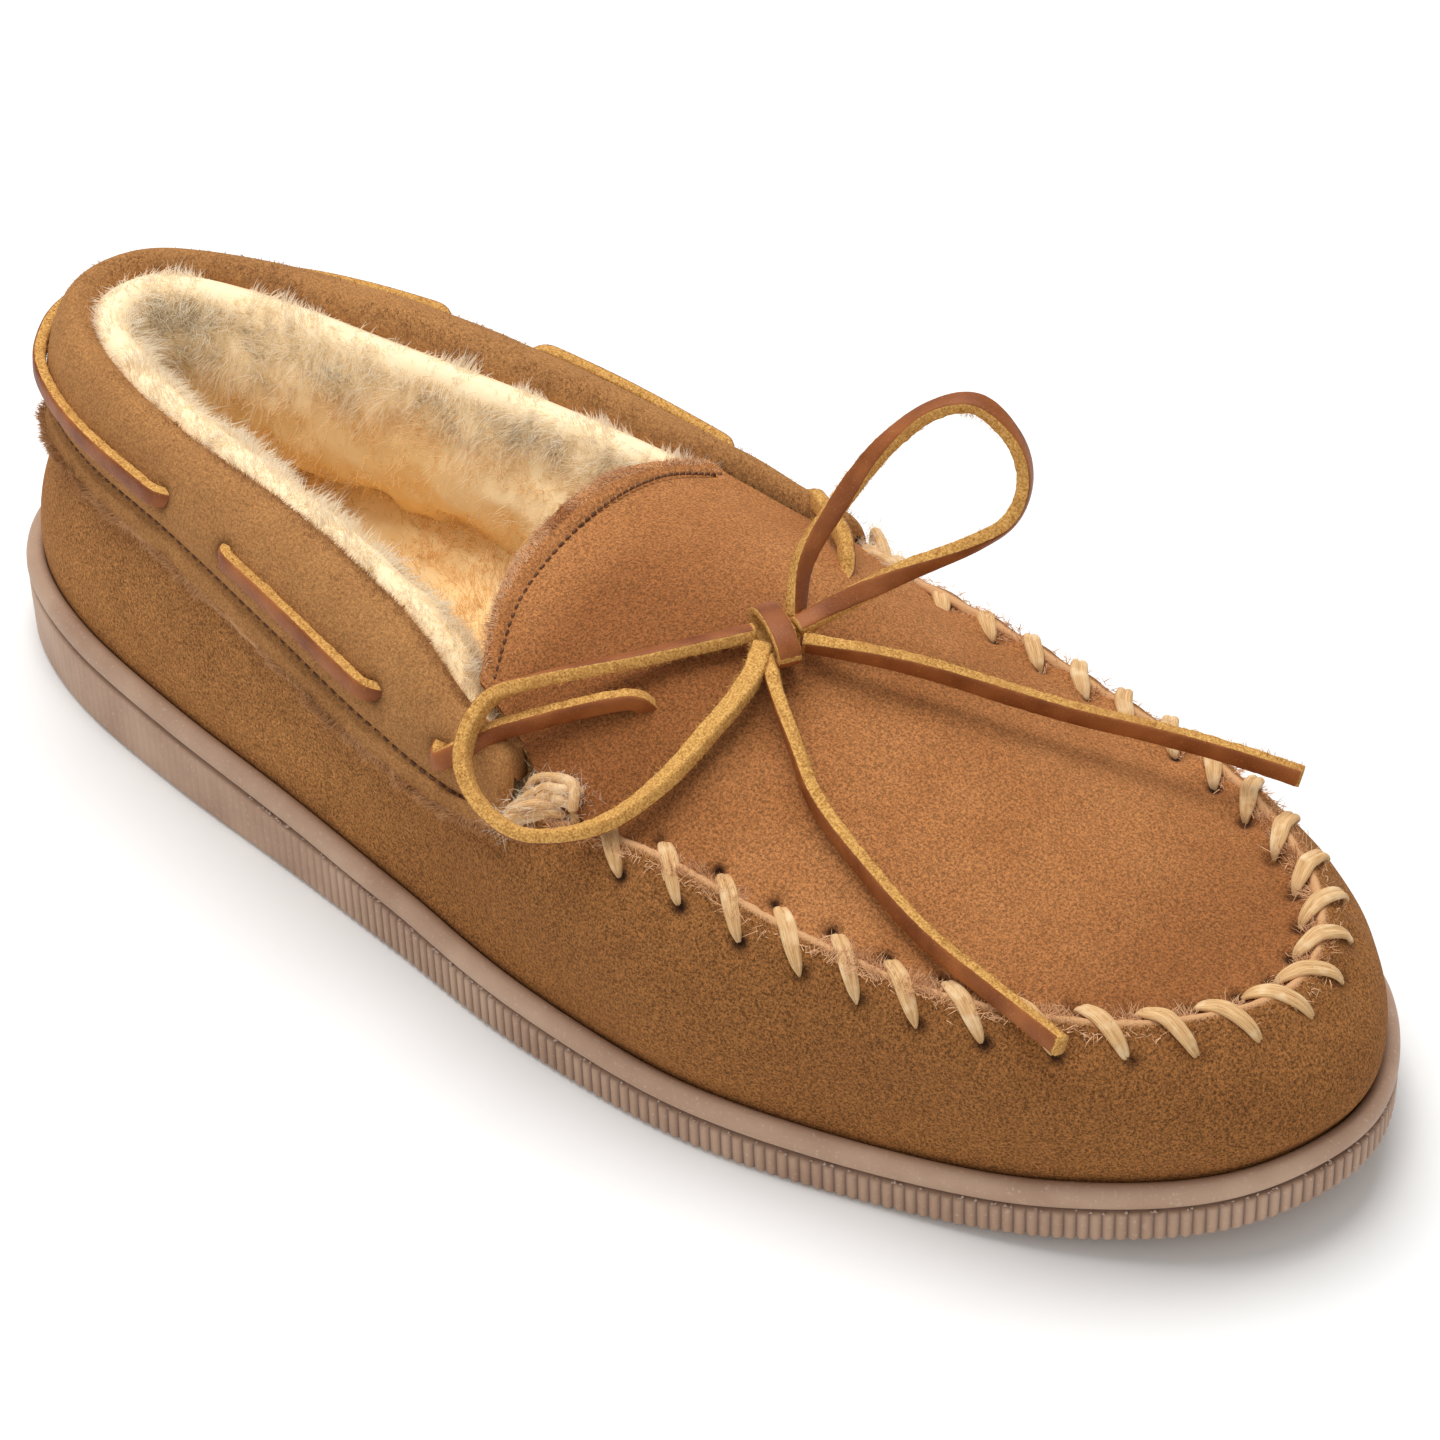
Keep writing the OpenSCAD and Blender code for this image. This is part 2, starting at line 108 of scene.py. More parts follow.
def along(rows, t):
    """Point on an open list of rows, t from 0 to 1, by the Catmull-Rom cubic."""
    rows, t = np.asarray(rows, float), np.clip(np.asarray(t, float), 0, 1)
    ends = np.vstack([2 * rows[0] - rows[1], rows, 2 * rows[-1] - rows[-2]])
    u = t * (len(rows) - 1)
    i = np.minimum(np.floor(u).astype(int), len(rows) - 2)
    return spline(ends[i], ends[i + 1], ends[i + 2], ends[i + 3], (u - i)[..., None])


def cloud(points, size, seed):
    """Smooth random values, -1 to 1: a cubic lattice of random numbers, size mm apart,
    blended with S-curves along each axis."""
    table = np.random.default_rng(seed).uniform(-1, 1, (32, 32, 32))
    q = np.asarray(points, float) / size + 7.3
    i, f = np.floor(q).astype(int), ease(q - np.floor(q))
    total = 0
    for corner in np.ndindex(2, 2, 2):
        c = np.array(corner)
        weight = np.prod(np.where(c == 1, f, 1 - f), axis=-1)
        k = (i + c) % 32
        total = total + weight * table[k[..., 0], k[..., 1], k[..., 2]]
    return total


def show(name, points, faces, material, body=SHOE, uv=None, **values):
    """Points in heel-based mm and faces become a smooth mesh in the frame, at the origin.
    values are one number per point, kept as attributes; uv is one pair per point."""
    mesh = bpy.data.meshes.new(name)
    mesh.from_pydata(to_frame(points).tolist(), [], faces)
    mesh.polygons.foreach_set("use_smooth", np.ones(len(mesh.polygons), bool))
    for key, value in values.items():
        layer = mesh.attributes.new(key, "FLOAT", "POINT")
        layer.data.foreach_set("value", np.asarray(value, np.float32).ravel())
    if uv is not None:
        corner = np.zeros(len(mesh.loops), np.int32)
        mesh.loops.foreach_get("vertex_index", corner)
        layer = mesh.uv_layers.new(name="along")
        layer.data.foreach_set("uv", np.asarray(uv, np.float32)[corner].ravel())
    mesh.update()
    mesh.materials.append(material)
    piece = bpy.data.objects.new(name, mesh)
    bpy.context.scene.collection.objects.link(piece)
    if body:
        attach(piece, body)
    return piece


def faces_out(points, quads):
    """True where quads enclose a positive volume: the sum of the triple products of each
    half of a quad, taken from the middle of the points."""
    p = points - points.mean(0)
    return sum(np.einsum("ij,ij->", p[quads[:, 0]], np.cross(p[quads[:, k]], p[quads[:, k + 1]]))
               for k in (1, 2)) > 0


def shell(name, grid, material, loop_rows=False, body=SHOE, **values):
    """A closed skin over a grid of rings: quads join each ring to the next, the ends are
    one flat face each or, with loop_rows, joined to each other. Turned to face outwards
    where the enclosed volume comes out negative."""
    n, m = grid.shape[:2]
    points = grid.reshape(-1, 3)
    i = np.arange(n if loop_rows else n - 1)[:, None]
    j = np.arange(m)[None]
    a, b = i * m + j, i * m + (j + 1) % m
    c, d = (i + 1) % n * m + (j + 1) % m, (i + 1) % n * m + j
    quads = np.stack([a, b, c, d], -1).reshape(-1, 4)
    faces = quads.tolist()
    if not loop_rows:
        faces += [list(range(m - 1, -1, -1)), list(range((n - 1) * m, n * m))]
    if not faces_out(points, quads):
        faces = [f[::-1] for f in faces]
    return show(name, points, faces, material, body, **values)


def linear(hex_colour):
    """sRGB hex to linear RGBA."""
    c = np.array([int(hex_colour[k:k + 2], 16) for k in (1, 3, 5)]) / 255
    c = np.where(c <= 0.04045, c / 12.92, ((c + 0.055) / 1.055) ** 2.4)
    return (*c, 1.0)


def add(material, kind, links=None, sockets=None, **settings):
    """Adds a node: settings are its properties, sockets its input values, links its inputs
    joined to other nodes' outputs. An output is a socket."""
    made = material.node_tree.nodes.new("ShaderNode" + kind)
    for key, value in settings.items():
        setattr(made, key, value)
    for key, value in (sockets or {}).items():
        made.inputs[key].default_value = value
    for key, source in (links or {}).items():
        material.node_tree.links.new(source, made.inputs[key])
    return made


def begin(name):
    """An empty node material with its output node."""
    material = bpy.data.materials.new(name)
    material.use_nodes = True
    material.node_tree.nodes.clear()
    return material, add(material, "OutputMaterial")


def blend_colour(material, amount, low, high):
    """Mix node between two colours or sockets, by a socket."""
    mix = add(material, "Mix", data_type="RGBA", clamp_factor=True)
    material.node_tree.links.new(amount, mix.inputs[0])
    for slot, value in ((6, low), (7, high)):
        if isinstance(value, str):
            mix.inputs[slot].default_value = linear(value)
        else:
            material.node_tree.links.new(value, mix.inputs[slot])
    return mix.outputs[2]


def levels(material, value, low, high):
    """Stretches a value so that low becomes 0 and high 1, held at both ends."""
    node = add(material, "MapRange", {"Value": value}, {"From Min": low, "From Max": high})
    return node.outputs["Result"]


def noise(material, scale, detail, **more):
    """Smooth noise fixed to the object, scale cells to the metre."""
    place = add(material, "TexCoord").outputs["Object"]
    sockets = {"Scale": scale, "Detail": detail, **more}
    return add(material, "TexNoise", {"Vector": place}, sockets).outputs["Fac"]


def named(material, name):
    """A value kept on the mesh."""
    return add(material, "Attribute", attribute_name=name).outputs["Fac"]


def plus(material, a, b):
    """Sum of two sockets."""
    return add(material, "Math", {0: a, 1: b}, operation="ADD").outputs[0]


def between(material, value, low, high):
    """Runs from low to high as the value goes from 0 to 1."""
    node = add(material, "MapRange", {"Value": value}, {"To Min": low, "To Max": high})
    return node.outputs["Result"]


def finish_surface(material, out, height, strength, depth, links, sockets):
    """A Principled shader joined to the output, with a bump of the given depth in metres."""
    bump = add(material, "Bump", {"Height": height}, {"Strength": strength, "Distance": depth})
    shader = add(material, "BsdfPrincipled", {**links, "Normal": bump.outputs[0]}, sockets)
    material.node_tree.links.new(shader.outputs[0], out.inputs[0])
    return material


def lace_leather():
    """Oil-tanned cowhide lace: a waxy grain side with fine pores and a soft shine, and a
    napped golden flesh side that stays quite matt."""
    m, out = begin("oil_tanned_cowhide_lace")
    side = levels(m, plus(m, named(m, "grain"), noise(m, 1600, 2)), 0.95, 1.1)
    # pores 0.4 mm apart and slow browning along the strip, 9 mm long
    pores, slow = noise(m, 2600, 3), noise(m, 110, 3)
    brown = blend_colour(m, levels(m, slow, 0.3, 0.7), "#6a3211", "#a15f30")
    brown = blend_colour(m, levels(m, pores, 0.62, 0.8), brown, "#b0743f")
    # napped fibres, drawn 0.4 mm across so that they show
    nap = noise(m, 2800, 3)
    gold = blend_colour(m, levels(m, nap, 0.3, 0.68), "#9f6a2b", "#e0b066")
    gold = blend_colour(m, levels(m, slow, 0.55, 0.8), gold, "#ad7a40")
    colour = blend_colour(m, side, gold, brown)
    height = add(m, "Mix", {0: side, 2: nap, 3: pores}, data_type="FLOAT").outputs[0]
    return finish_surface(m, out, height, 0.5, 0.00025, {
        "Base Color": colour, "Roughness": between(m, side, 0.95, 0.48)},
        {"Specular IOR Level": 0.22})


COWHIDE = lace_leather()


def strip(path, facing, wide=LACE_W, thick=LACE_T, sides=22, rough=0.13, seed=1):
    """A lace laid on a path: at each point a rounded rectangle, the fifth-power
    superellipse, whose thin axis is facing made square to the path. The grain attribute
    is 1 on the facing side; the raw sides are roughened by smooth noise."""
    way = unit(np.gradient(path, axis=0))
    face = square_to(facing, way)
    side = np.cross(way, face)
    turn = np.linspace(0, 2 * np.pi, sides, endpoint=False) + np.pi / sides
    x = np.sign(np.cos(turn)) * np.abs(np.cos(turn)) ** 0.42 * wide / 2
    y = np.sign(np.sin(turn)) * np.abs(np.sin(turn)) ** 0.42 * thick / 2
    grain = (y > thick * 0.36).astype(float)
    ring = path[:, None] + side[:, None] * x[:, None] + face[:, None] * y[:, None]
    out = unit(ring - path[:, None])
    wear = cloud(ring, 0.55, seed) * rough + cloud(ring, 3.1, seed + 1) * 0.07
    ring = ring + out * (wear * (1 - 0.85 * grain))[..., None]
    ends = ease(np.minimum(np.arange(len(path)), np.arange(len(path))[::-1]) / 2.0)[:, None]
    return ring, np.broadcast_to(grain, ring.shape[:2]) * ends


def lay(rows, length_step=0.45):
    """Control rows of x, y, z and the way the grain side faces, as an even path."""
    rows = np.asarray(rows, float)
    rough = along(rows, np.linspace(0, 1, 400))
    run = run_along(rough[:, :3])
    even = np.linspace(0, run[-1], int(run[-1] / length_step))
    both = np.stack([np.interp(even, run, rough[:, k]) for k in range(6)], -1)
    return both[:, :3], both[:, 3:], run[-1]


BOW = {
    "bow_loop_outer": ("object", [
        (179, -6.5, 63.5, -0.2, 0.2, 1), (168, -22, 62.5, -0.3, 0.2, 0.9),
        (157, -33, 60, -0.5, 0.2, 0.7), (151, -39.5, 57, -0.9, 0.1, 0.3),
        (152, -47, 52, -0.9, -0.3, -0.3), (158, -51.5, 48.5, -0.4, -0.7, -0.6),
        (167, -52.5, 46.5, 0, -0.7, -0.8), (174, -49, 47, 0.2, -0.5, -0.9),
        (179.5, -43, 49, 0.2, -0.3, -1), (183.5, -35, 53.5, 0.2, -0.1, -1),
        (185, -26, 58, 0.1, 0, -1), (185, -16, 61.5, 0, 0, -1), (182, -8, 63, 0, 0, -1)]),
    "bow_loop_inner": ("object", [
        (182, 0, 64, 0.8, 0.1, 0.2), (180, 5, 71.5, 0.7, -0.2, 0.2),
        (182.5, 11.5, 80.5, 0.3, -0.6, 0.3), (186, 17.5, 88.5, -0.2, -0.6, 0.5),
        (191, 23.5, 94.5, -0.5, -0.4, 0.7), (197, 28, 96, 0, -0.1, 1),
        (203.5, 29, 91.5, 0.7, 0.4, 0.6), (206.5, 28, 85.5, 0.9, 0.4, 0),
        (206.5, 24.5, 80, 0.8, 0, -0.6), (202.5, 20, 76, 0.6, -0.5, -0.6),
        (194, 12, 71, 0.4, -0.8, -0.1), (187, 4, 66, 0.1, -0.7, 0.7),
        (184, -2, 64, 0, -0.5, 0.9)]),
    "lace_tail_outer": ("bare", [
        (184, -9, 61.5, -0.7, -0.6, -0.3), (189, -13.5, 60.5, -0.6, -0.7, -0.2),
        (197, -19, 57.5, -0.5, -0.8, -0.1), (206, -24.5, 53.5, -0.45, -0.85, 0),
        (219.5, -28.5, 48.8, -0.3, -0.9, 0.1), (233, -31.5, 45, -0.2, -0.9, 0.2),
        (248, -33.2, 42.6, -0.2, -0.9, 0.2), (261.5, -35.8, 42, -0.2, -0.9, 0.3)]),
    "lace_tail_inner": ("bare", [
        (186, -3, 62.5, 0.4, -0.7, -0.4), (196.5, 3, 61, 0.5, -0.8, -0.2),
        (205, 8, 58.8, 0.5, -0.8, -0.1), (214, 12.5, 56.3, 0.5, -0.85, 0),
        (224, 18.5, 53, 0.5, -0.85, 0), (233.5, 25, 50, 0.55, -0.8, 0),
        (244.5, 31.5, 46.8, 0.55, -0.8, 0), (255.5, 36.5, 44, 0.5, -0.8, 0.1)]),
}
lace_paths = []
for name, (far_end, rows) in BOW.items():
    path, facing, length = lay(rows)
    ring, grain = strip(path, facing)
    piece = shell(name + "_strip", ring, COWHIDE, grain=grain)
    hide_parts(name)
    lace_paths.append((path, facing))

# Studio: a plain white floor under one wide overhead softbox, a softer fill on the outer
# side and an even white surround.
FLOOR_COLOUR = "#f4f4f3"
floor_mesh = bpy.data.meshes.new("floor")
floor_mesh.from_pydata([(-3, -3, 0), (3, -3, 0), (3, 3, 0), (-3, 3, 0)], [], [(0, 1, 2, 3)])
floor = bpy.data.objects.new("floor", floor_mesh)
bpy.context.scene.collection.objects.link(floor)
paper, paper_out = begin("matt_white_paper")
paper_shader = add(paper, "BsdfPrincipled", None, {
    "Base Color": linear(FLOOR_COLOUR), "Roughness": 1.0, "Specular IOR Level": 0.0})
paper.node_tree.links.new(paper_shader.outputs[0], paper_out.inputs[0])
floor_mesh.materials.append(paper)

surround = bpy.data.worlds.new("surround")
bpy.context.scene.world = surround
surround.use_nodes = True
surround.node_tree.nodes["Background"].inputs[0].default_value = (1, 1, 1, 1)
surround.node_tree.nodes["Background"].inputs[1].default_value = 0.52
for name, place, aim, size, power in (
    ("overhead_softbox", (-0.25, 0.15, 1.15), (0, 0, 0), 0.9, 13.5),
    ("outer_side_fill", (0.35, -1.1, 0.7), (0, 0, 0.03), 0.9, 2.6),
):
    light = bpy.data.objects.new(name, bpy.data.lights.new(name, "AREA"))
    light.data.size, light.data.energy = size, power
    light.data.shape = "SQUARE"
    back = unit(np.array(place) - np.array(aim))
    right = unit(np.cross((0, 1, 0), back))
    up = np.cross(back, right)
    turned = np.column_stack([right, up, back, place])
    light.matrix_world = Matrix([*turned.tolist(), [0, 0, 0, 1]])
    bpy.context.scene.collection.objects.link(light)

# Outsole: one moulded unit of dusty pink-brown thermoplastic rubber. A rounded lip stands
# round the suede, a parting line runs under it with crumbs of flash left by the mould,
# and the wall below is ribbed from the waist forward. The tread is moulded in beneath.
HEEL_LIP, FORE_LIP, TOE_SPRING, LIP_DEPTH, WALL_IN = 15.5, 8.8, 9.0, 4.0, 3.5
BASE = 2.0
RIB_PITCH, RIB_DEPTH = 2.0, 0.45
UP = np.array([0, 0, 1.0])
OUTLINE = np.array([
    (9, 0), (12, -12), (23, -23.5), (43, -32.5), (72, -38.5), (102, -42.5),
    (132, -47), (164, -52), (200, -52.5), (234, -45), (262, -35.5), (284, -21),
    (293, -1), (288, 18), (272, 37), (247, 47), (215, 51), (184, 47.5),
    (154, 40), (124, 36), (94, 35), (65, 36), (37, 31.5), (15, 17)], float)


def loop(rows, s):
    """Point on a closed list of rows at station s, by the Catmull-Rom cubic."""
    s = np.asarray(s, float)
    i = np.floor(s).astype(int)
    return spline(*(rows[(i + k) % len(rows)] for k in (-1, 0, 1, 2)), (s - i)[..., None])


def outward(rows, s):
    """The direction along a closed list of rows, turned a quarter out, level."""
    d = loop(rows, s + 0.01) - loop(rows, s - 0.01)
    return unit(np.stack([d[..., 1], -d[..., 0], 0 * d[..., 0]], -1))


def toe_lift(x):
    """The sole curls up ahead of the ball: a square law from x 222."""
    return TOE_SPRING * (np.maximum(x - 222, 0) / 70) ** 2


def lip_z(x):
    """Lip height: an S-curve from the heel's height to the forefoot's, plus the lift."""
    return FORE_LIP + (HEEL_LIP - FORE_LIP) * (1 - ease((x - 30) / 180)) + toe_lift(x)


def rim_point(s, inset):
    """Point on the sole's outline moved inwards, level."""
    return loop(OUTLINE, s) - inset[..., None] * outward(OUTLINE, s)[..., :2]


def evenly(rows, step, first=0.0, last=24.0):
    """Stations spaced step mm apart along a closed list of rows."""
    s = np.linspace(first, last, 6000)
    p = loop(rows, s)
    run = run_along(p)
    count = max(int(run[-1] / step), 8)
    return np.interp(np.linspace(0, run[-1], count + 1), run, s)


# heights from the bottom edge (0) or the lip (1), with the inset and the share of rib
SOLE_PROFILE = [
    (0, -1.6, 6.0, 0), (0, -2.0, 5.2, 0), (0, -2.0, 1.6, 0), (0, -1.9, 0.8, 0.6),
    (0, -1.5, 0.25, 1), (0, -0.9, 0.05, 1), (1, -5.6, 0.0, 1), (1, -5.2, 0.1, 1),
    (1, -4.95, 0.4, 0.6), (1, -4.8, 1.1, 0), (1, -4.5, 1.4, 0), (1, -4.2, 1.2, 0),
    (1, -3.95, 0.5, 0), (1, -3.5, 0.1, 0), (1, -2.8, -0.1, 0), (1, -2.0, -0.05, 0),
    (1, -1.2, 0.15, 0), (1, -0.55, 0.6, 0), (1, -0.15, 1.2, 0), (1, 0.0, 1.9, 0),
    (1, -0.15, 2.6, 0), (1, -0.5, 3.1, 0), (1, -1.0, 3.45, 0), (1, -3.9, 3.7, 0)]
STEPS_PER_RIB = 7
stations = evenly(OUTLINE, RIB_PITCH / STEPS_PER_RIB)[:-1]
rib_wave = np.abs(np.sin(np.pi * np.arange(len(stations)) / STEPS_PER_RIB)) ** 0.6
front_share = 12 - np.abs(stations % 24 - 12)
ribbed = 0.12 + 0.88 * ease((front_share - 4.6) / 1.6)
kind, height, inset, rib = np.array(SOLE_PROFILE).T[:, None]
notch = ((1 - rib_wave) * ribbed)[:, None]
cut = inset + rib * RIB_DEPTH * notch
flat = rim_point(np.broadcast_to(stations[:, None], cut.shape), cut)
low = toe_lift(flat[..., 0]) + height + 0.25 * notch * (height < -1.4)
z = np.where(kind > 0, lip_z(flat[..., 0]) + height, np.maximum(low, height))
wall = np.concatenate([flat, z[..., None]], -1)
# the lip wavers a little, as a moulding does once it has cooled
waver = cloud(wall, 14, 3)[..., None] * 0.16 * (kind > 0)[..., None]
wall[..., 2:] += waver * (wall[..., 2:] > lip_z(wall[..., :1]) - 4)
# the tray's floor and the underside: the wall's edges drawn in towards the middle line
inner = []
for share, at, lift in ((0.3, -1, 0), (0.97, -1, 0), (0.97, 0, 0), (0.5, 0, 0)):
    edge = wall[:, at]
    middle = np.column_stack([np.clip(edge[:, 0], 45, 250), np.full(len(edge), -1.0)])
    xy = edge[:, :2] * (1 - share) + middle * share
    level = lip_z(xy[:, 0]) - LIP_DEPTH if at else toe_lift(xy[:, 0]) - 0.8
    inner.append(np.column_stack([xy, level]))
outsole_grid = np.concatenate([wall, np.stack(inner, 1)], 1)


def sole_rubber():
    """Thermoplastic rubber, injection moulded: even dusty colour with faint flow clouds,
    a soft low shine on the lip, and painted shade in the grooves."""
    m, out = begin("tpr_rubber")
    dust, fine = noise(m, 70, 5), noise(m, 1500, 2)
    colour = blend_colour(m, levels(m, dust, 0.35, 0.7), "#a5836b", "#b99980")
    colour = blend_colour(m, levels(m, fine, 0.6, 0.75), colour, "#bda28c")
    # painted shade: the grooves darken towards deep brown
    colour = blend_colour(m, named(m, "groove"), colour, "#5a4035")
    return finish_surface(m, out, fine, 0.25, 0.00015, {
        "Base Color": colour, "Roughness": between(m, fine, 0.42, 0.66)},
        {"Specular IOR Level": 0.4})


RUBBER = sole_rubber()
# painted shade in the parting groove, which is row 10 of the profile, and between the ribs
PARTING_ROW = 10
groove_shade = ease(1 - np.abs(np.arange(outsole_grid.shape[1]) - PARTING_ROW) / 2.2)
rib_shade = notch * np.concatenate([rib[0], np.zeros(4)]) * 0.75
outsole = shell("outsole_unit", outsole_grid, RUBBER, loop_rows=True,
                groove=np.clip(groove_shade + rib_shade, 0, 1))
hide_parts("outsole")


def across(u, w, inset):
    """Point over the sole inside a border: u runs heel to toe and w from the outer side to
    the inner side, between the outline's two halves at the same share of their length."""
    w = w[..., None]
    outer, inner = (rim_point(a, inset + 0 * a) for a in (12 * u, 24 - 12 * u))
    return outer * (1 - w) + inner * w


def many(name, rings, material, body=SHOE, **values):
    """Many closed tubes in one mesh: rings is tube, ring, side, xyz; every end is a flat
    face."""
    k, n, m = rings.shape[:3]
    i, j = np.arange(n - 1)[:, None], np.arange(m)[None]
    a, b = i * m + j, i * m + (j + 1) % m
    quads = np.stack([a, b, b + m, a + m], -1).reshape(-1, 4)
    out = faces_out(rings[0].reshape(-1, 3), quads)
    quads = quads if out else quads[:, ::-1]
    first, last = np.arange(m), np.arange(m) + (n - 1) * m
    caps = (first[::-1], last) if out else (first, last[::-1])
    shift = (np.arange(k) * n * m)[:, None, None]
    faces = (quads[None] + shift).reshape(-1, 4).tolist()
    for cap in caps:
        faces += (cap[None] + shift[:, 0]).tolist()
    return show(name, rings.reshape(-1, 3), faces, material, body, **values)


# Tread: wavy lugs across the sole, of the same rubber and moulded in one with it. They
# stand on the recessed underside and carry the shoe; four waves to a lug grip sideways.
LUG_STEP, SOLE_LONG, LUG_WAVE, LUG_BORDER = 6.4, 284, 1.3, 6.5
lug_u = np.arange(9, 277, LUG_STEP)[:, None] / SOLE_LONG
lug_w = np.linspace(0.03, 0.97, 40)[None]
lug_xy = across(*np.broadcast_arrays(lug_u, lug_w), LUG_BORDER)
lug_xy[..., 0] += LUG_WAVE * np.sin(2 * np.pi * 4 * lug_w)
corner = np.array([(-1.5, 0, 1.3), (-1.1, 0, 0.05), (1.1, 0, 0.05), (1.5, 0, 1.3)])
lug_base = np.concatenate([lug_xy, toe_lift(lug_xy[..., :1]) - BASE], -1)
lugs = many("tread_lugs", lug_base[:, :, None] + corner, RUBBER)

# Flash: slivers of the sole's rubber, 0.2 to 0.5 mm, squeezed out where the mould's two
# halves met and torn off roughly, so a line of pale crumbs is left in the parting groove.
CRUMBS = 210
rng = np.random.default_rng(11)
crumb_s = np.sort(rng.uniform(4.5, 19, CRUMBS))
crumb_z = lip_z(loop(OUTLINE, crumb_s)[:, 0]) - 4.5 + rng.normal(0, 0.2, CRUMBS)
crumb = np.column_stack([rim_point(crumb_s, np.full(CRUMBS, 0.35)), crumb_z])
ball = np.array([(1, 0, 0), (-0.5, 0.87, 0), (-0.5, -0.87, 0), (0, 0, 1.2), (0, 0, -1)])
crumb_size = rng.uniform(0.15, 0.55, (CRUMBS, 1, 3)) * [1, 1, 0.7]
crumb_points = (crumb[:, None] + ball * crumb_size).reshape(-1, 3)
tri = np.array([(0, 1, 3), (1, 2, 3), (2, 0, 3), (1, 0, 4), (2, 1, 4), (0, 2, 4)])
crumb_faces = (tri + 5 * np.arange(CRUMBS)[:, None, None]).reshape(-1, 3).tolist()
flash, flash_out = begin("torn_rubber_flash")
flash_shader = add(flash, "BsdfPrincipled", None, {
    "Base Color": linear("#b9a08f"), "Roughness": 0.7})
flash.node_tree.links.new(flash_shader.outputs[0], flash_out.inputs[0])
crumbs = show("parting_line_flash", crumb_points, crumb_faces, flash)

# Hidden layers: cork-felt filler, fibre board and latex foam, glued in the rubber tray in
# that order; the heel's counter of pressed fibre between suede and lining; the collar's
# foam cord. They keep the part's own meshes.
def plain_core(name, low, high, grain_mm, roughness):
    """A hidden core material: two tones in a grain of the given size, quite matt."""
    m, out = begin(name)
    grain = noise(m, 1000 / grain_mm, 4)
    colour = blend_colour(m, levels(m, grain, 0.3, 0.7), low, high)
    return finish_surface(m, out, grain, 0.4, 0.0003, {"Base Color": colour},
                          {"Roughness": roughness})


def dress(node, material):
    """Gives a carried-over CAD node its material."""
    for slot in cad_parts[node].material_slots:
        slot.material = material


dress("bottom_filler", plain_core("cork_felt", "#8f7a5f", "#c2ae90", 2.0, 0.95))
dress("insole_board", plain_core("cellulose_fibre_board", "#b39f7f", "#cfc0a2", 0.8, 0.85))
dress("footbed_foam", plain_core("latex_foam", "#d8d0bc", "#efe9da", 0.5, 0.8))
dress("heel_counter", plain_core("pressed_fibre_counter", "#b39a72", "#cdb892", 0.9, 0.85))
dress("collar_padding", plain_core("collar_foam", "#ddd2b8", "#efe6d2", 0.6, 0.8))

# Wrap: one piece of cow split suede, 1.5 mm thick, turned in under the foot and pulled up
# round it. Its upper edge is raw where it is gathered to the plug: each whipstitch pulls a
# dimple into it and the suede puffs up between them.
SUEDE_T = 1.5
SEAM = np.array([
    (20, 0, 47.5), (22.5, -8, 47.5), (30, -16.5, 48), (47, -24.5, 49),
    (73, -31, 49.5), (100, -36.5, 46.3), (126, -41, 41.5), (152, -44, 39.5),
    (184, -42.5, 44.5), (214, -40.5, 41.5), (241, -36, 39.5), (266, -21.5, 37.5),
    (278, 1, 35.5), (269, 21, 36.5), (245, 34, 37.5), (217, 37.5, 39.5),
    (187, 38.5, 43), (156, 42, 40.5), (130, 42.5, 41.5), (104, 40.5, 46.3),
    (76, 36.5, 49.5), (49, 30, 49), (31, 19.5, 48), (22.5, 9, 47.5)], float)
FIRST_STITCH, STITCH_STEP, STITCH_EASE, STITCHES = 7.84, 0.378, 0.00126, 25


def from_heel(s):
    """Stations counted from the heel, the same on both sides."""
    return 12 - np.abs(np.asarray(s) % 24 - 12)


def tray(s, inset, dz):
    """Point over the tray floor, dz above it."""
    xy = rim_point(s, inset + 0 * s)
    return np.concatenate([xy, (lip_z(xy[..., 0]) - LIP_DEPTH + dz)[..., None]], -1)


def bezier(a, b, c, d, t):
    """Cubic Bezier curve from a to d."""
    return a * (1 - t) ** 3 + 3 * b * t * (1 - t) ** 2 + 3 * c * t * t * (1 - t) + d * t**3


def wrap_skin(s, v):
    """The wrap's outside: at each station a Bezier curve from the lip, v 0, to the seam,
    v 1, that leaves upwards and bulges outwards, most at the toe."""
    s, v = np.broadcast_arrays(np.asarray(s, float), np.asarray(v, float))
    foot, top, n = tray(s, WALL_IN, LIP_DEPTH - 0.5), loop(SEAM, s), outward(OUTLINE, s)
    f, h = ease((from_heel(s) - 6.2) / 1.6)[..., None], (top - foot)[..., 2:]
    return bezier(foot, foot + UP * h * 0.42 + n * (0.5 + 4 * f),
                  top - UP * h * (0.3 - 0.22 * f) + n * (0.5 + 8.5 * f), top, v[..., None])


def normal_of(skin, s, v):
    """The way out of a skin: the cross product of its two small steps."""
    e = 0.004
    return unit(np.cross(skin(s + e, v) - skin(s - e, v), skin(s, v + e) - skin(s, v - e)))


def raised(skin, s, v, d):
    """Point on a skin moved out along its normal."""
    s, v = np.broadcast_arrays(np.asarray(s, float), np.asarray(v, float))
    return skin(s, v) + np.asarray(d)[..., None] * normal_of(skin, s, v)


def near(points, marks, radius):
    """Sum over the marks of a bell curve of distance, one at each mark."""
    flat, total = points.reshape(-1, 3), 0
    for mark in marks:
        total = total + np.exp(-((flat - mark) ** 2).sum(-1) / radius**2)
    return total.reshape(points.shape[:-1])


def seam_way(s):
    """The direction along the seam at station s."""
    return unit(loop(SEAM, s + 0.02) - loop(SEAM, s - 0.02))


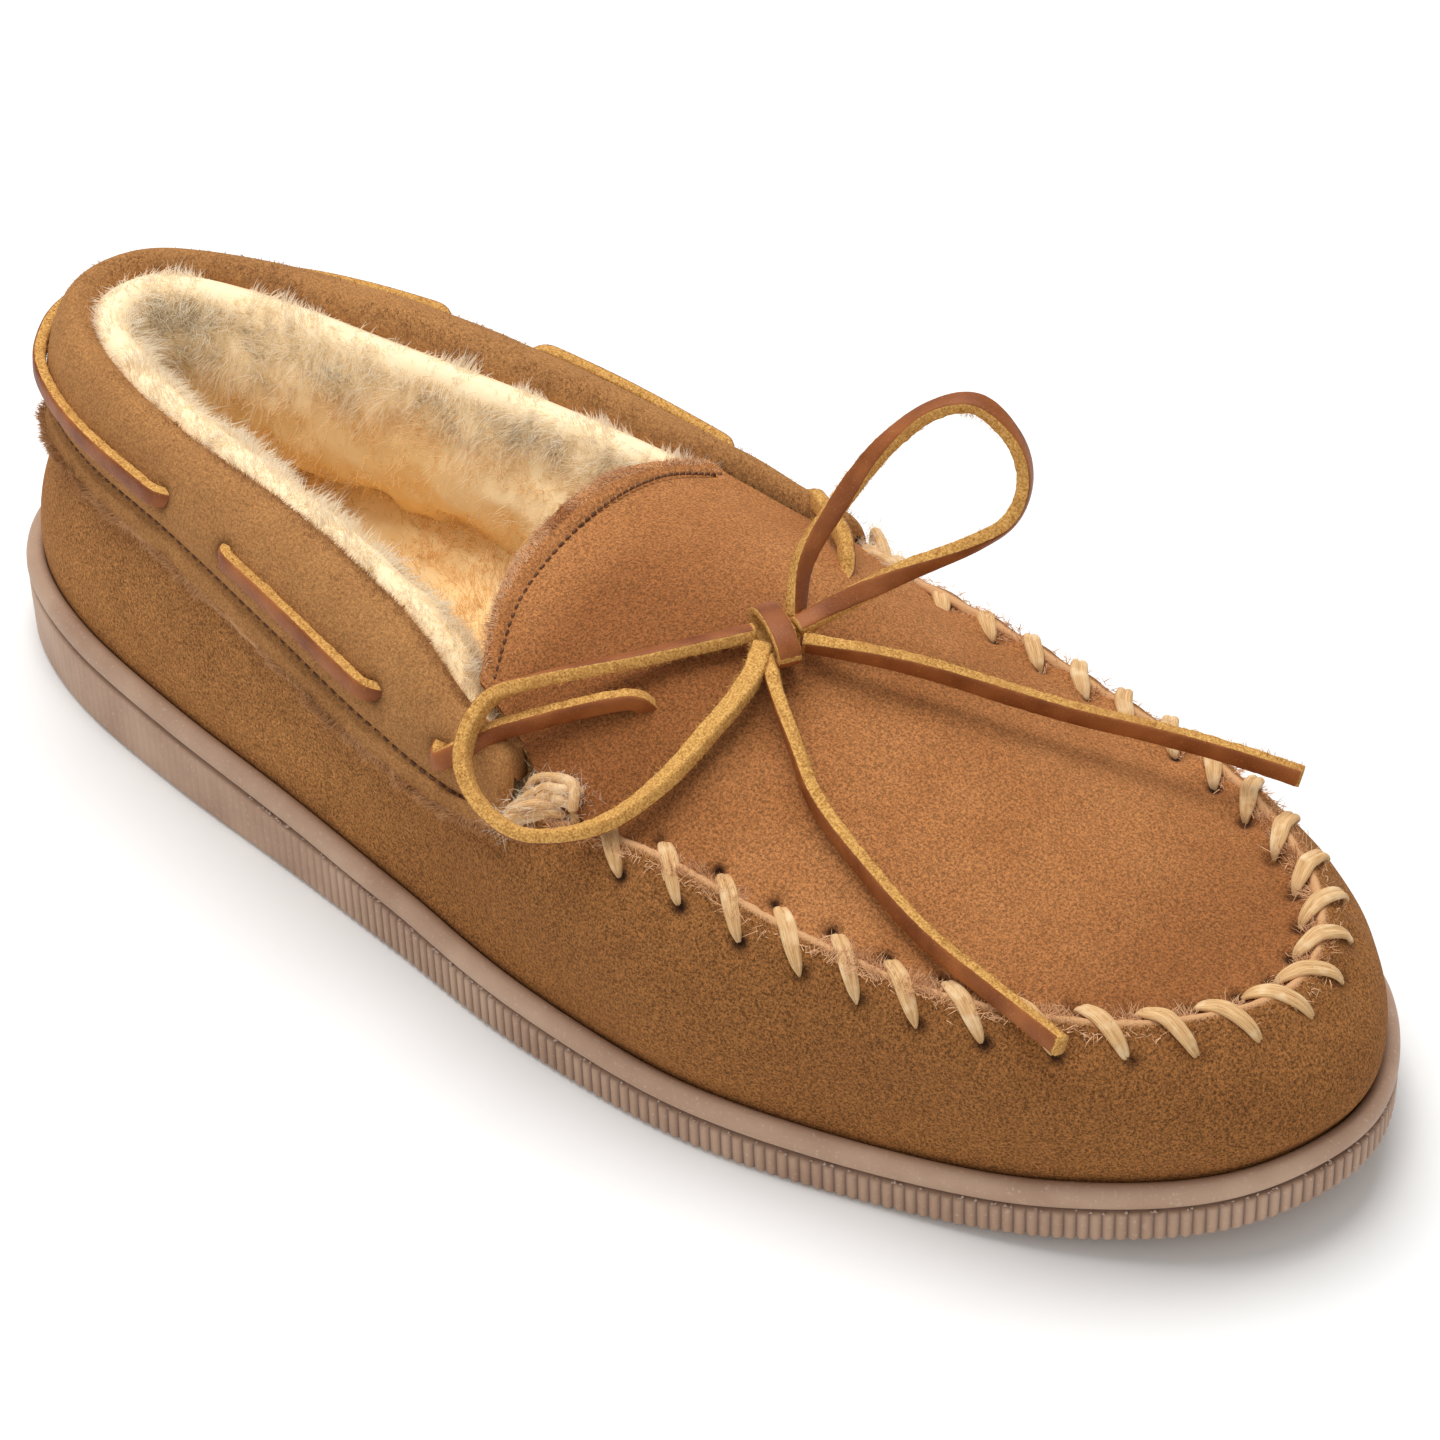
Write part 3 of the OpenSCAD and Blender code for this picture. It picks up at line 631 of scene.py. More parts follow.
stitch_i = np.arange(STITCHES)
stitch_s = FIRST_STITCH + STITCH_STEP * stitch_i - STITCH_EASE * stitch_i**2
stitch_at, stitch_out = loop(SEAM, stitch_s), outward(SEAM, stitch_s)
stitch_way = seam_way(stitch_s)
wrap_holes = stitch_at + stitch_out * 3.7 - UP * 2.9 + stitch_way * 4.5
plug_holes = stitch_at - stitch_out * 3.5 + UP * 0.4 - stitch_way * 4.5


def suede(name, dark, middle, light, raw, grain):
    """Split suede: a short velvet nap whose fibres lie this way and that. It gives a fine
    salt-and-pepper grain, faint brushed patches, no shine, and a pale glow where it turns
    away. Painted shade darkens it where shade falls and it is darker towards the toe; it is
    pale and hairy at raw edges, and painted shade darkens its needle holes."""
    m, out = begin(name)
    # nap fibres drawn 0.25 mm apart, tufts 0.5 mm, brushed patches 10 mm and 35 mm
    nap, tuft = noise(m, 3900, 2, Roughness=0.7), noise(m, 2100, 2, Roughness=0.6)
    brushed = plus(m, noise(m, 100, 3, Roughness=0.5), noise(m, 28, 3))
    colour = blend_colour(m, levels(m, brushed, 0.72, 1.28), middle, light)
    # painted shade and darker toe: this attribute mixes in the dark colour
    colour = blend_colour(m, named(m, "worn"), colour, dark)
    salt = plus(m, nap, tuft)
    pepper = add(m, "MapRange", {"Value": salt}, {
        "From Min": 0.8, "From Max": 1.24, "To Min": 1 - 0.6 * grain, "To Max": 1 + 0.68 * grain})
    grained = add(m, "VectorMath", {0: colour, 1: pepper.outputs["Result"]}, operation="MULTIPLY")
    torn = levels(m, plus(m, named(m, "raw"), nap), 0.75, 1.35)
    colour = blend_colour(m, torn, grained.outputs[0], raw)
    # painted shade in needle holes and lace slits
    colour = blend_colour(m, named(m, "hole"), colour, "#2a150b")
    return finish_surface(m, out, salt, 0.55, 0.0003, {"Base Color": colour}, {
        "Roughness": 0.95, "Specular IOR Level": 0.12, "Sheen Weight": 0.35,
        "Sheen Roughness": 0.45, "Sheen Tint": linear(light)})


WRAP_SUEDE = suede("cow_split_suede_wrap", "#7d4f29", "#926237", "#a3703f", "#cf9f72", 1.0)
s = evenly(OUTLINE, 0.82)[:-1, None]
v = 1 - np.linspace(1, 0, 56)[None] ** 1.35
outer = wrap_skin(s, v)
facing = normal_of(wrap_skin, *np.broadcast_arrays(s, v))
run = run_along(outer)
from_top = run[:, -1:] - run
sewn = ease((from_heel(s) - 6.9) / 0.5)
gathered = 0.45 + 0.85 * ease((s - 10.6) / 1.0) * (s < 18)
swell = gathered * bell(from_top - 3.2, 4.0) * sewn
dimple = near(outer, wrap_holes, 3.0) * (0.55 + 0.6 * gathered) + near(outer, wrap_holes, 1.1) * 0.9
creases = cloud(outer, 34, 21) * 0.9 + cloud(outer, 13, 22) * 0.32
creases *= ease(run / 6) * (0.35 + 0.65 * ease(from_top / 8))
for drop, depth in ((3.0, 0.55), (6.0, 0.3)):
    below = wrap_holes + stitch_out * 0.16 * drop - UP * drop
    dimple = dimple + near(outer, below, 2.6) * depth * gathered
outer = outer + facing * (swell - dimple * sewn + creases)[..., None]
outer[..., 2] += 1.5 * bell(from_top, 2.6) * sewn
raw = bell(from_top, 1.0) * sewn
# painted shade in the needle holes
hole = np.clip(near(outer, wrap_holes, 1.25) * 1.5, 0, 1) * sewn
inner = (outer - facing * SUEDE_T)[:, ::-5]
lean = unit(outer[:, -1] - outer[:, -3])
edge = np.stack([outer[:, -1] * (1 - k) + inner[:, 0] * k + lean * 0.55 * np.sin(np.pi * k)
                 for k in (0.12, 0.35, 0.65, 0.88)], 1)
edge = edge + cloud(edge, 0.9, 5)[..., None] * 0.25 * UP
# the leather turned in under the foot: its lower and its upper face
TURNED_IN, OFF_TRAY = 15, 0.15
under = [tray(s, WALL_IN + TURNED_IN, OFF_TRAY), tray(s, WALL_IN + 0.8, OFF_TRAY)]
over = [tray(s, WALL_IN + 0.8 + SUEDE_T, OFF_TRAY + SUEDE_T),
        tray(s, WALL_IN + TURNED_IN, OFF_TRAY + SUEDE_T)]
wrap_grid = np.concatenate([*under, outer, edge, inner, *over], 1)


def on_wrap(value, at_edge):
    """A value of the outside spread to the whole ring: at_edge on the raw edge, 0 inside."""
    rim = np.full((len(s), 4), at_edge) * sewn
    hidden = np.zeros((len(s), inner.shape[1] + 2))
    return np.concatenate([hidden[:, :2], value, rim, hidden], 1)


# darker towards the toe, and a band of painted shade below the collar's raw edge round the heel
worn = 0.6 * ease((outer[..., 0] - 95) / 70)
worn = np.maximum(worn, 0.8 * bell(from_top - 7.2, 2.6) * (from_heel(s) < 7.2))
wrap = shell("suede_wrap", wrap_grid, WRAP_SUEDE, loop_rows=True,
             raw=on_wrap(raw, 1.0), hole=on_wrap(hole, 0.0), worn=on_wrap(worn, 0.0))
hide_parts("moccasin_wrap")

# Heel strap: a strip of the same suede over the wrap's back seam, held by two rows of
# machine stitching and tucked under the collar.
STRAP_HALF, STRAP_SEAM = 0.42, 0.3
s = np.linspace(-STRAP_HALF, STRAP_HALF, 40)[:, None]
v = np.linspace(0.06, 0.86, 70)[None]
strap_top = raised(wrap_skin, s, v, SUEDE_T + 0.25)
strap_low = raised(wrap_skin, s, v, 0.1)
sunk = cloud(strap_top, 9, 31) * 0.15 - 0.35 * bell(np.abs(s) - STRAP_SEAM, 0.035)
strap_top = strap_top + normal_of(wrap_skin, *np.broadcast_arrays(s, v)) * sunk[..., None]


def slab(name, top, low, material, body=SHOE, bulge=0.3, **values):
    """A closed sheet between two grids of the same size: quads over the top, under the
    bottom, and round the border by a middle row pushed out by bulge. values are given
    on the top grid, or as a pair for the top and the border."""
    n, m = top.shape[:2]
    index = np.arange(n * m).reshape(n, m)
    a, b, c, d = index[:-1, :-1], index[1:, :-1], index[1:, 1:], index[:-1, 1:]
    quads = np.stack([a, b, c, d], -1).reshape(-1, 4)
    border = np.concatenate([index[0], index[1:, -1], index[-1, -2::-1], index[-2:0:-1, 0]])
    inside = np.concatenate([index[1], index[1:, -2], index[-2, -2::-1], index[-2:0:-1, 1]])
    flat_top, flat_low = top.reshape(-1, 3), low.reshape(-1, 3)
    edge_way = unit(flat_top[border] - flat_top[inside])
    middle = (flat_top[border] + flat_low[border]) / 2 + edge_way * bulge
    points = np.concatenate([flat_top, flat_low, middle])
    rim = 2 * n * m + np.arange(len(border))
    next_rim, next_border = np.roll(rim, -1), np.roll(border, -1)
    ring_top = np.stack([border, next_border, next_rim, rim], -1)
    ring_low = np.stack([rim, next_rim, n * m + next_border, n * m + border], -1)
    faces = np.concatenate([quads, quads[:, ::-1] + n * m, ring_top[:, ::-1], ring_low[:, ::-1]])
    faces = (faces if faces_out(points, faces) else faces[:, ::-1]).tolist()
    spread = {}
    for key, value in values.items():
        top_value, rim_value = value if isinstance(value, tuple) else (value, None)
        t = np.asarray(top_value, float).reshape(-1)
        r = t[border] if rim_value is None else np.full(len(border), float(rim_value))
        spread[key] = np.concatenate([t, t, r])
    return show(name, points, faces, material, body, **spread)


strap = slab("heel_strap_suede", strap_top, strap_low, WRAP_SUEDE,
             raw=(bell(STRAP_HALF - np.abs(s), 0.02) + 0 * v, 1.0), hole=0 * s * v)
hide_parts("heel_strap")


def bars(name, starts, ends, ups, material, radius, body=SHOE, sides=6):
    """Machine stitches: each a little closed capsule from start to end, its ends sunk
    along -up, in five rings of the given radius times a half-ellipse."""
    along_bar = np.array([0.0, 0.18, 0.5, 0.82, 1.0])
    fat = np.array([0.45, 0.95, 1.0, 0.95, 0.45])
    rise = np.array([-0.6, 0.25, 0.45, 0.25, -0.6])
    d, up = unit(ends - starts), unit(ups)
    x = unit(np.cross(d, up))
    turn = np.linspace(0, 2 * np.pi, sides, endpoint=False)
    core = starts[:, None] + (ends - starts)[:, None] * along_bar[None, :, None]
    core = core + up[:, None] * (rise * radius)[None, :, None]
    around = (x[:, None, None] * np.cos(turn)[None, None, :, None]
              + np.cross(x, d)[:, None, None] * np.sin(turn)[None, None, :, None])
    rings = core[:, :, None] + around * (fat * radius)[None, :, None, None]
    return many(name, rings, material, body)


def thread(name, dark, light, twist_mm):
    """Sewing thread: tightly laid plies that catch the light in fine slanted bands."""
    m, out = begin(name)
    ply = noise(m, 1000 / twist_mm, 3)
    colour = blend_colour(m, levels(m, ply, 0.3, 0.7), dark, light)
    return finish_surface(m, out, ply, 0.5, 0.0001, {"Base Color": colour},
                          {"Roughness": 0.65, "Specular IOR Level": 0.25})


POLYESTER = thread("bonded_polyester_thread", "#452615", "#7a5236", 0.5)
THREAD_R, STRAP_STITCHES, STRAP_STITCH = 0.3, 15, 0.034
at = np.repeat([-STRAP_SEAM, STRAP_SEAM], STRAP_STITCHES)
v = np.tile(0.1 + 0.72 * np.arange(STRAP_STITCHES) / STRAP_STITCHES, 2)
strap_thread = bars("heel_strap_thread", raised(wrap_skin, at, v, SUEDE_T + 0.05),
                    raised(wrap_skin, at, v + STRAP_STITCH, SUEDE_T + 0.05),
                    outward(OUTLINE, at), POLYESTER, THREAD_R)
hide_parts("heel_strap_stitching")

# Lining: shearling, sheepskin with its wool clipped to 7.5 mm. The skin side is glued in;
# the wool shows as soft crowded tufts, cream at the tips and honey-gold deeper down and
# where it is pressed.
RIM = np.array([
    (28, 0, 66), (30, -7, 65.5), (38, -13.5, 64.5), (53, -18.5, 63),
    (78, -22.5, 61.5), (104, -26.5, 59.5), (128, -31, 55.5), (149, -36, 49),
    (184, -36, 46), (214, -36, 41), (240, -30, 38), (262, -18, 37),
    (270, 1, 36), (263, 20, 37), (240, 30, 38), (215, 36, 41),
    (186, 36, 46), (152, 37, 49), (130, 32.5, 55.5), (104, 27.5, 59.5),
    (78, 23, 61.5), (53, 19, 63), (38, 14, 64.5), (30, 7.5, 65.5)], float)
WOOL = 7.5


def lining_skin(s, v):
    """The lining's glued side: the wrap's skin moved in by its thickness, whose upper part
    slides over to the collar's inner edge at the rear."""
    s, v = np.broadcast_arrays(np.asarray(s, float), np.asarray(v, float))
    deep = -(SUEDE_T + 0.3 + 1.9 * (1 - ease((from_heel(s) - 2.6) / 0.8)))
    f = ease((from_heel(s) - 6.2) / 1.6)
    rim = loop(RIM, s) - outward(OUTLINE, s) * 0.5 - UP
    slide = ((1 - f) * np.maximum(v, 0) ** 1.5)[..., None]
    return (raised(wrap_skin, s, 0.04 + 0.9 * v, deep)
            + slide * (rim - raised(wrap_skin, s, 0.94 + 0 * v, deep)))


def wool(name, pale, gold, root, through_share, gaps):
    """Clipped sheep's wool: soft, quite matt and bright, since light passes through its thin
    fibres; each lock runs from honey at its root to cream at its tip. A drawn fibre stands
    for several finer ones, so a share of it, gaps, is clear."""
    m, out = begin(name)
    lock = levels(m, noise(m, 420, 4, Distortion=0.8), 0.3, 0.7)
    cream, amber = blend_colour(m, lock, *pale), blend_colour(m, lock, *gold)
    grown = blend_colour(m, named(m, "honey"), cream, amber)
    colour = blend_colour(m, named(m, "tip"), root, grown)
    shader = add(m, "BsdfPrincipled", {"Base Color": colour},
                 {"Roughness": 1.0, "Specular IOR Level": 0.0})
    through = add(m, "BsdfTranslucent", {"Color": colour})
    both = add(m, "MixShader", {1: shader.outputs[0], 2: through.outputs[0]}, {0: through_share})
    clear = add(m, "BsdfTransparent")
    open_pile = add(m, "MixShader", {1: both.outputs[0], 2: clear.outputs[0]}, {0: gaps})
    m.node_tree.links.new(open_pile.outputs[0], out.inputs[0])
    return m


SHEARLING = wool("sheepskin_wool", ("#f4e0bd", "#faead0"), ("#efc27c", "#f8d79c"), "#f4d8a6",
                 0.0, 0.0)
WOOL_FIBRES = wool("sheepskin_wool_fibres", ("#fef4df", "#fffaf0"), ("#fde0ad", "#ffedc8"),
                   "#fff1d8", 0.6, 0.55)


def tufts(points, seed):
    """Height of the wool in mm: three sizes of smooth noise, the middle one folded so that
    it stands up in rounded locks."""
    return (1.3 * cloud(points, 11, seed) + 1.1 * (1 - 2 * np.abs(cloud(points, 5.2, seed + 1)))
            + 0.5 * cloud(points, 2.1, seed + 2))


def honey_of(points, seed):
    """How golden the wool is: more towards the floor and the middle, in broad patches."""
    x, z = points[..., 0], points[..., 2]
    deep = ease((61 - z) / 20) * (1 - 0.7 * ease((x - 128) / 30)) * ease((x - 22) / 30)
    patchy = deep * (0.8 + 0.5 * cloud(points, 15, seed))
    return np.clip(patchy + 0.12 * cloud(points, 9, seed + 1), 0, 1)


s = evenly(OUTLINE, 1.5)[:-1, None]
v = np.linspace(0, 1, 44)[None]
sv = np.broadcast_arrays(s, v)
skin_side = lining_skin(*sv)
way_out = normal_of(lining_skin, *sv)
# the pile is shorter at the rim and stands thickest half way down round the heel
pile = WOOL * (1 - 0.35 * ease((v - 0.88) / 0.12))
pile = pile + 9 * bell(v - 0.6, 0.28) * ease((7.8 - from_heel(s)) / 2)
wool_side = skin_side - way_out * pile[..., None]
fluff = tufts(wool_side, 41) * (0.35 + 0.65 * ease((1 - v) / 0.12))
wool_side = wool_side - way_out * (fluff * 0.9)[..., None]
rim_lift = (0.9 + 0.7 * cloud(wool_side[:, -6:], 7, 44)) * ease((7.4 - from_heel(s)) / 0.5)
wool_side[:, -6:] += UP * (rim_lift * np.linspace(0, 1, 6))[..., None]
top_roll = np.stack([
    skin_side[:, -1] * (1 - k) + wool_side[:, -1] * k + UP * 1.5 * np.sin(np.pi * k)
    for k in (0.25, 0.5, 0.75)], 1)
lining_grid = np.concatenate(
    [skin_side[:, ::4], skin_side[:, -1:], top_roll, wool_side[:, ::-1]], 1)
lining = shell("shearling_lining", lining_grid, SHEARLING, loop_rows=True,
               tip=np.full(lining_grid.shape[:2], 0.55), honey=honey_of(lining_grid, 51))
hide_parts("wrap_lining")

# Footbed: the same shearling as an insole over foam and board, glued at its border. It is
# trodden down under the heel and its pile stands up along the sides.
BOARD_T, FOAM_T, FOOTBED_T, FOOTBED_IN, OVER_TRAY = 1.5, 3.0, 5.0, 14.1, 2.25
u = 0.5 - 0.5 * np.cos(np.pi * np.linspace(0.02, 0.98, 210))[:, None]
w = np.linspace(0, 1, 72)[None]
uw = np.broadcast_arrays(u, w)
bed = across(*uw, FOOTBED_IN)
floor_height = lip_z(bed[..., 0]) - LIP_DEPTH + OVER_TRAY + BOARD_T + FOAM_T
bed_low = np.concatenate([bed, floor_height[..., None]], -1)
bed_top = bed_low + UP * (FOOTBED_T - 0.6)
heap = 0.4 + 0.6 * np.abs(2 * uw[1] - 1) ** 1.5
bed_top[..., 2] += 14 * ease((160 - bed_top[..., 0]) / 50) * heap
heel_print = bell(bed_top[..., 0] - 62, 26) * bell(bed_top[..., 1] - 1, 18)
bed_top[..., 2] += tufts(bed_top, 61) * 0.7 - 1.6 * heel_print
footbed = slab("shearling_footbed", bed_top, bed_low, SHEARLING, bulge=0.4,
               tip=np.full(bed.shape[:2], 0.5), honey=honey_of(bed_top, 51))
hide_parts("footbed_fleece")


# Wool fibres: each drawn hair stands for a few real ones, grown from the lining's skin, the
# rim and the footbed. They give the pile its soft ragged edge.
def locks(name, roots, ways, length, width, seed, honey, droop=0.5, body=SHOE, material=None,
          raw=0.9):
    """One tapering three-sided hair for each root, in a root ring, a middle ring and a
    point. Its way is the skin's way out, combed by smooth noise and bent by gravity."""
    rng = np.random.default_rng(seed)
    n = len(roots)
    comb = np.stack([cloud(roots, 7.5, seed + k) for k in (3, 4, 5)], -1)
    curl = np.stack([cloud(roots, 1.6, seed + k) for k in (6, 7, 8)], -1)
    way = unit(ways + 1.9 * comb + 0.4 * rng.normal(size=(n, 3)))
    size = (length * rng.uniform(0.55, 1.15, n))[:, None]
    middle = roots + way * size * 0.55 + curl * size * 0.16
    point = roots + way * size + curl * size * 0.5 - UP * size * 0.22 * droop
    x = unit(np.cross(way, rng.normal(size=(n, 3))))
    y = np.cross(way, x)
    turn = np.array([0, 2.094, 4.189])
    ring = x[:, None] * np.cos(turn)[None, :, None] + y[:, None] * np.sin(turn)[None, :, None]
    wide = (width * rng.uniform(0.7, 1.3, n))[:, None, None]
    points = np.concatenate([roots[:, None] + ring * wide, middle[:, None] + ring * wide * 0.75,
                             point[:, None]], 1)
    one = [(2, 1, 0), (0, 1, 4), (1, 2, 5), (2, 0, 3), (0, 4, 3), (1, 5, 4), (2, 3, 5),
           (3, 4, 6), (4, 5, 6), (5, 3, 6)]
    faces = (np.array(one) + 7 * np.arange(n)[:, None, None]).reshape(-1, 3).tolist()
    tip = np.tile([0.3, 0.3, 0.3, 0.85, 0.85, 0.85, 1.0], n)
    hairs = show(name, points.reshape(-1, 3), faces, material or WOOL_FIBRES, body, tip=tip,
                 honey=np.repeat(honey, 7), raw=np.full(7 * n, raw))
    hairs.data.polygons.foreach_set("use_smooth", np.zeros(len(faces), bool))
    return hairs


def scatter(grid, ways, count, seed, weight=None):
    """Random points on a grid of points, with their ways: a cell drawn by weight, then a
    place within it by bilinear shares."""
    rng = np.random.default_rng(seed)
    first = grid[:-1, :-1]
    cell = np.linalg.norm(np.cross(grid[1:, :-1] - first, grid[:-1, 1:] - first), axis=-1)
    if weight is not None:
        cell = cell * np.broadcast_to(weight, grid.shape[:2])[:-1, :-1]
    pick = rng.choice(cell.size, count, p=(cell / cell.sum()).ravel())
    i, j = np.unravel_index(pick, cell.shape)
    a, b = rng.random((2, count, 1))
    at, way = ((g[i, j] * (1 - a) + g[i + 1, j] * a) * (1 - b)
               + (g[i, j + 1] * (1 - a) + g[i + 1, j + 1] * a) * b for g in (grid, ways))
    return at, unit(way)


seen = ease((v - 0.12) / 0.2) * (ease((8.6 - from_heel(s)) / 1.0) + 0.02)
seen = seen * (0.6 + 3.4 * ease((v - 0.72) / 0.15))
for name, seed, length, width in (
    ("lining_wool", 71, 3.6, 0.15), ("lining_wool_fine", 171, 4.8, 0.1),
):
    roots, ways = scatter(wool_side, -way_out, 15000, seed, seen)
    roots = roots - ways
    hair = locks(name, roots, ways + UP * 0.3, length, width, seed + 1, honey_of(roots, 51))
rim_rows = np.concatenate([skin_side[:, -3:], top_roll, wool_side[:, -1:-6:-1]], 1)
rim_ways = unit(rim_rows - rim_rows.mean(1, keepdims=True) + UP)
at_mouth = ease((7.6 - from_heel(s)) / 0.6) + 0.02
roots, ways = scatter(rim_rows, rim_ways, 16500, 75, at_mouth)
hair = locks("rim_wool", roots - ways * 0.8, ways, 3.6, 0.13, 76, 0.15 * honey_of(roots, 51))
bed_ways = np.broadcast_to(UP, bed_top.shape)
for name, seed, length, width in (
    ("footbed_wool", 73, 3.6, 0.16), ("footbed_wool_fine", 173, 4.4, 0.11),
):
    roots, ways = scatter(bed_top, bed_ways, 12000, seed, ease((205 - bed_top[..., 0]) / 30) + 0.02)
    hair = locks(name, roots - UP, ways, length, width, seed + 1, honey_of(roots, 51))

# Collar: a band of lighter suede rolled over a foam cord and stitched down to the wrap all
# round the mouth. Below the machine stitches its raw edge stays loose and hairy. Slits
# let the lace in and out.
COLLAR_END, STITCH_T, SLIT_T = 7.25, 0.02, 0.27
SLITS = np.array([3.9, 4.57, 6.07, 6.72])
COLLAR_SUEDE = suede("cow_split_suede_collar", "#855832", "#996b40", "#a97848", "#c2946a", 0.5)


def collar_skin(s, t):
    """The rolled collar's outside: from the stitch line, t 0, up and over to the mouth's
    edge, t 1, as a Bezier curve that rises steeply and rounds over."""
    s, t = np.broadcast_arrays(np.asarray(s, float), np.asarray(t, float))
    n, top = outward(SEAM, s), loop(RIM, s)
    foot = loop(SEAM, s) + n * (SUEDE_T + 0.1)
    h = (top - foot)[..., 2:]
    return bezier(foot, foot + UP * h * 0.7 + n * 1.5, top + UP * 7 + n * 5, top, t[..., None])


stations = evenly(SEAM, 0.8, -COLLAR_END, COLLAR_END)
s = stations[:, None]
t = np.linspace(0, 1, 48)[None]
st = np.broadcast_arrays(s, t)
skin_out, facing = collar_skin(*st), normal_of(collar_skin, *st)
marks = np.concatenate([collar_skin(sign * SLITS, np.full(4, SLIT_T)) for sign in (-1, 1)])
run = run_along(skin_out)
line_run = STITCH_T * run[:, -1:]
groove = bell(run - line_run, 0.55) * 0.45
pull = near(skin_out, marks, 3.2) * 0.6 + near(skin_out, marks, 1.2) * 0.5
soft = cloud(skin_out, 26, 81) * 0.75 + cloud(skin_out, 9, 82) * 0.22
soft *= ease(run / 5)
fullness = 0.35 * ease((run - line_run - 0.6) / 3) * ease((14 - run) / 8)
skin_out = skin_out + facing * (soft - groove - pull + fullness)[..., None]

# the raw edge below the stitches: 4.6 mm of the wrap's 34 mm height
FLANGE_SHARE, FLANGE_ROWS = 4.6 / 34, 9
up_flange = np.linspace(0, 1, FLANGE_ROWS)
low = 1 - FLANGE_SHARE + up_flange[None] * FLANGE_SHARE
under_out = normal_of(wrap_skin, *np.broadcast_arrays(s, low))
flange = raised(wrap_skin, s, low, SUEDE_T + 0.85)
ragged = cloud(flange[:, 0], 1.1, 83) * 0.22 + cloud(flange[:, 0], 5, 84) * 0.15
flange[:, :3] += UP * (ragged[:, None] * np.array([1, 0.6, 0.25]))[..., None]
curled = (0.45 + 0.55 * ease((np.abs(s) - 1.2) / 1.5)) * (1 - up_flange)
flange = flange + under_out * (cloud(flange, 3.0, 85) * 0.3 + curled)[..., None]
flange_in = raised(wrap_skin, s, low, 0.12)[:, ::-2]

# the hem turned down inside the mouth: four steps of 1.6 mm down and back up
rim_at, rim_out = loop(RIM, stations), outward(RIM, stations)
turned_in = np.stack([rim_at - UP * k * 1.6 - rim_out * 0.5 * min(k, 2) for k in (1, 2, 3, 4)], 1)
turned_back = np.stack([rim_at - UP * k * 1.6 + rim_out * (1.2 - 0.2 * k) for k in (4, 3, 2, 1)], 1)
back = (skin_out - facing * (SUEDE_T - 0.05))[:, ::-6]
collar_grid = np.concatenate([flange[:, :-1], skin_out, turned_in, turned_back, back, flange_in], 1)
# both ends round off over their last 0.09 of a station
into_end = np.maximum(np.abs(s) - (COLLAR_END - 0.09), 0) / 0.09
taper = np.sqrt(np.clip(1 - into_end**2, 0.02, 1))
centre = collar_grid.mean(1, keepdims=True)
collar_grid = centre + (collar_grid - centre) * taper[..., None]
raw = np.zeros(collar_grid.shape[:2])
raw[:, :3] = [1.0, 0.55, 0.2]
raw[:, -3:] = 1.0
# painted shade in the lace slits
hole = np.zeros(collar_grid.shape[:2])
hole[:, 8:56] = np.clip(near(skin_out, marks, 1.9) * 1.5, 0, 1)
collar = shell("rolled_collar", collar_grid, COLLAR_SUEDE, raw=raw, hole=hole)
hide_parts("collar_band")

# suede fibres: pulled loose along the raw edge, and a short nap, thickest at the mouth
roots, ways = scatter(flange[:, :3], under_out[:, :3], 11000, 86)
hair = locks("collar_edge_hair", roots, ways - 0.6 * UP, 1.7, 0.075, 87, np.zeros(11000), 0.4,
             material=COLLAR_SUEDE, raw=0.6)
roots, ways = scatter(skin_out, facing, 10000, 88, 0.25 + 2.5 * ease((t - 0.72) / 0.2))
hair = locks("collar_nap_hair", roots - 0.2 * ways, ways, 1.1, 0.055, 89, np.zeros(10000), 0.4,
             material=COLLAR_SUEDE, raw=0.35)

STITCH_PITCH, STITCH_SHARE = 2.3, 0.74
cut_s = evenly(SEAM, STITCH_PITCH, -COLLAR_END + 0.06, COLLAR_END - 0.06)
step = np.diff(cut_s)[:1] * STITCH_SHARE
collar_thread = bars("collar_thread", raised(collar_skin, cut_s, STITCH_T, -0.25),
                     raised(collar_skin, cut_s + step, STITCH_T, -0.25),
                     normal_of(collar_skin, cut_s, np.full(len(cut_s), STITCH_T)),
                     POLYESTER, THREAD_R)
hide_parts("collar_stitching")

# Collar lace: the same lace as the bow, drawn round the heel inside the collar. It shows
# over the heel and once on each side, then crosses to the plug and runs in under it.
def lace_depth(s):
    """How far the lace stands off the collar: out between slits, in behind the leather."""
    a = np.abs(s)
    shown = (1 - ease((a - 3.86) / 0.1) + ease((a - 4.52) / 0.1)
             - ease((a - 6.02) / 0.1) + ease((a - 6.68) / 0.1))
    return -2.1 + 3.5 * shown


STRAP_OUT = [(153, -40, 52), (162, -33.3, 56), (170.8, -27, 58.8), (172.8, -24, 55.4),
             (177.5, -15, 56.2), (180.5, -8, 58), (182, -5, 60.5)]
STRAP_IN = [(155, 39, 52.5), (164, 32.5, 55.5), (171.5, 26, 58.5), (175, 21.5, 55.5),
            (178, 13, 56.5), (181, 5, 57.8), (182, -1, 60)]
hidden, crossing = np.linspace(-6.8, 6.8, 420), np.linspace(0, 1, 40)
round_heel = raised(collar_skin, hidden, SLIT_T, lace_depth(hidden))
route = np.concatenate([along(STRAP_IN[::-1], crossing), round_heel, along(STRAP_OUT, crossing)])
grain_way = np.concatenate([np.tile([(0.5, 0.85, -0.2)], (40, 1)), outward(SEAM, hidden) + 0.1 * UP,
                            np.tile([(0.62, -0.76, -0.15)], (40, 1))])
path, facing, length = lay(np.column_stack([route, grain_way]), 0.6)
for _ in range(3):
    path[1:-1] = (path[:-2] + 2 * path[1:-1] + path[2:]) / 4
ring, grain = strip(path, facing, sides=18, seed=5)
collar_lace = shell("collar_lace_strip", ring, COWHIDE, grain=grain)
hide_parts("collar_lace")
lace_paths.append((path, facing))
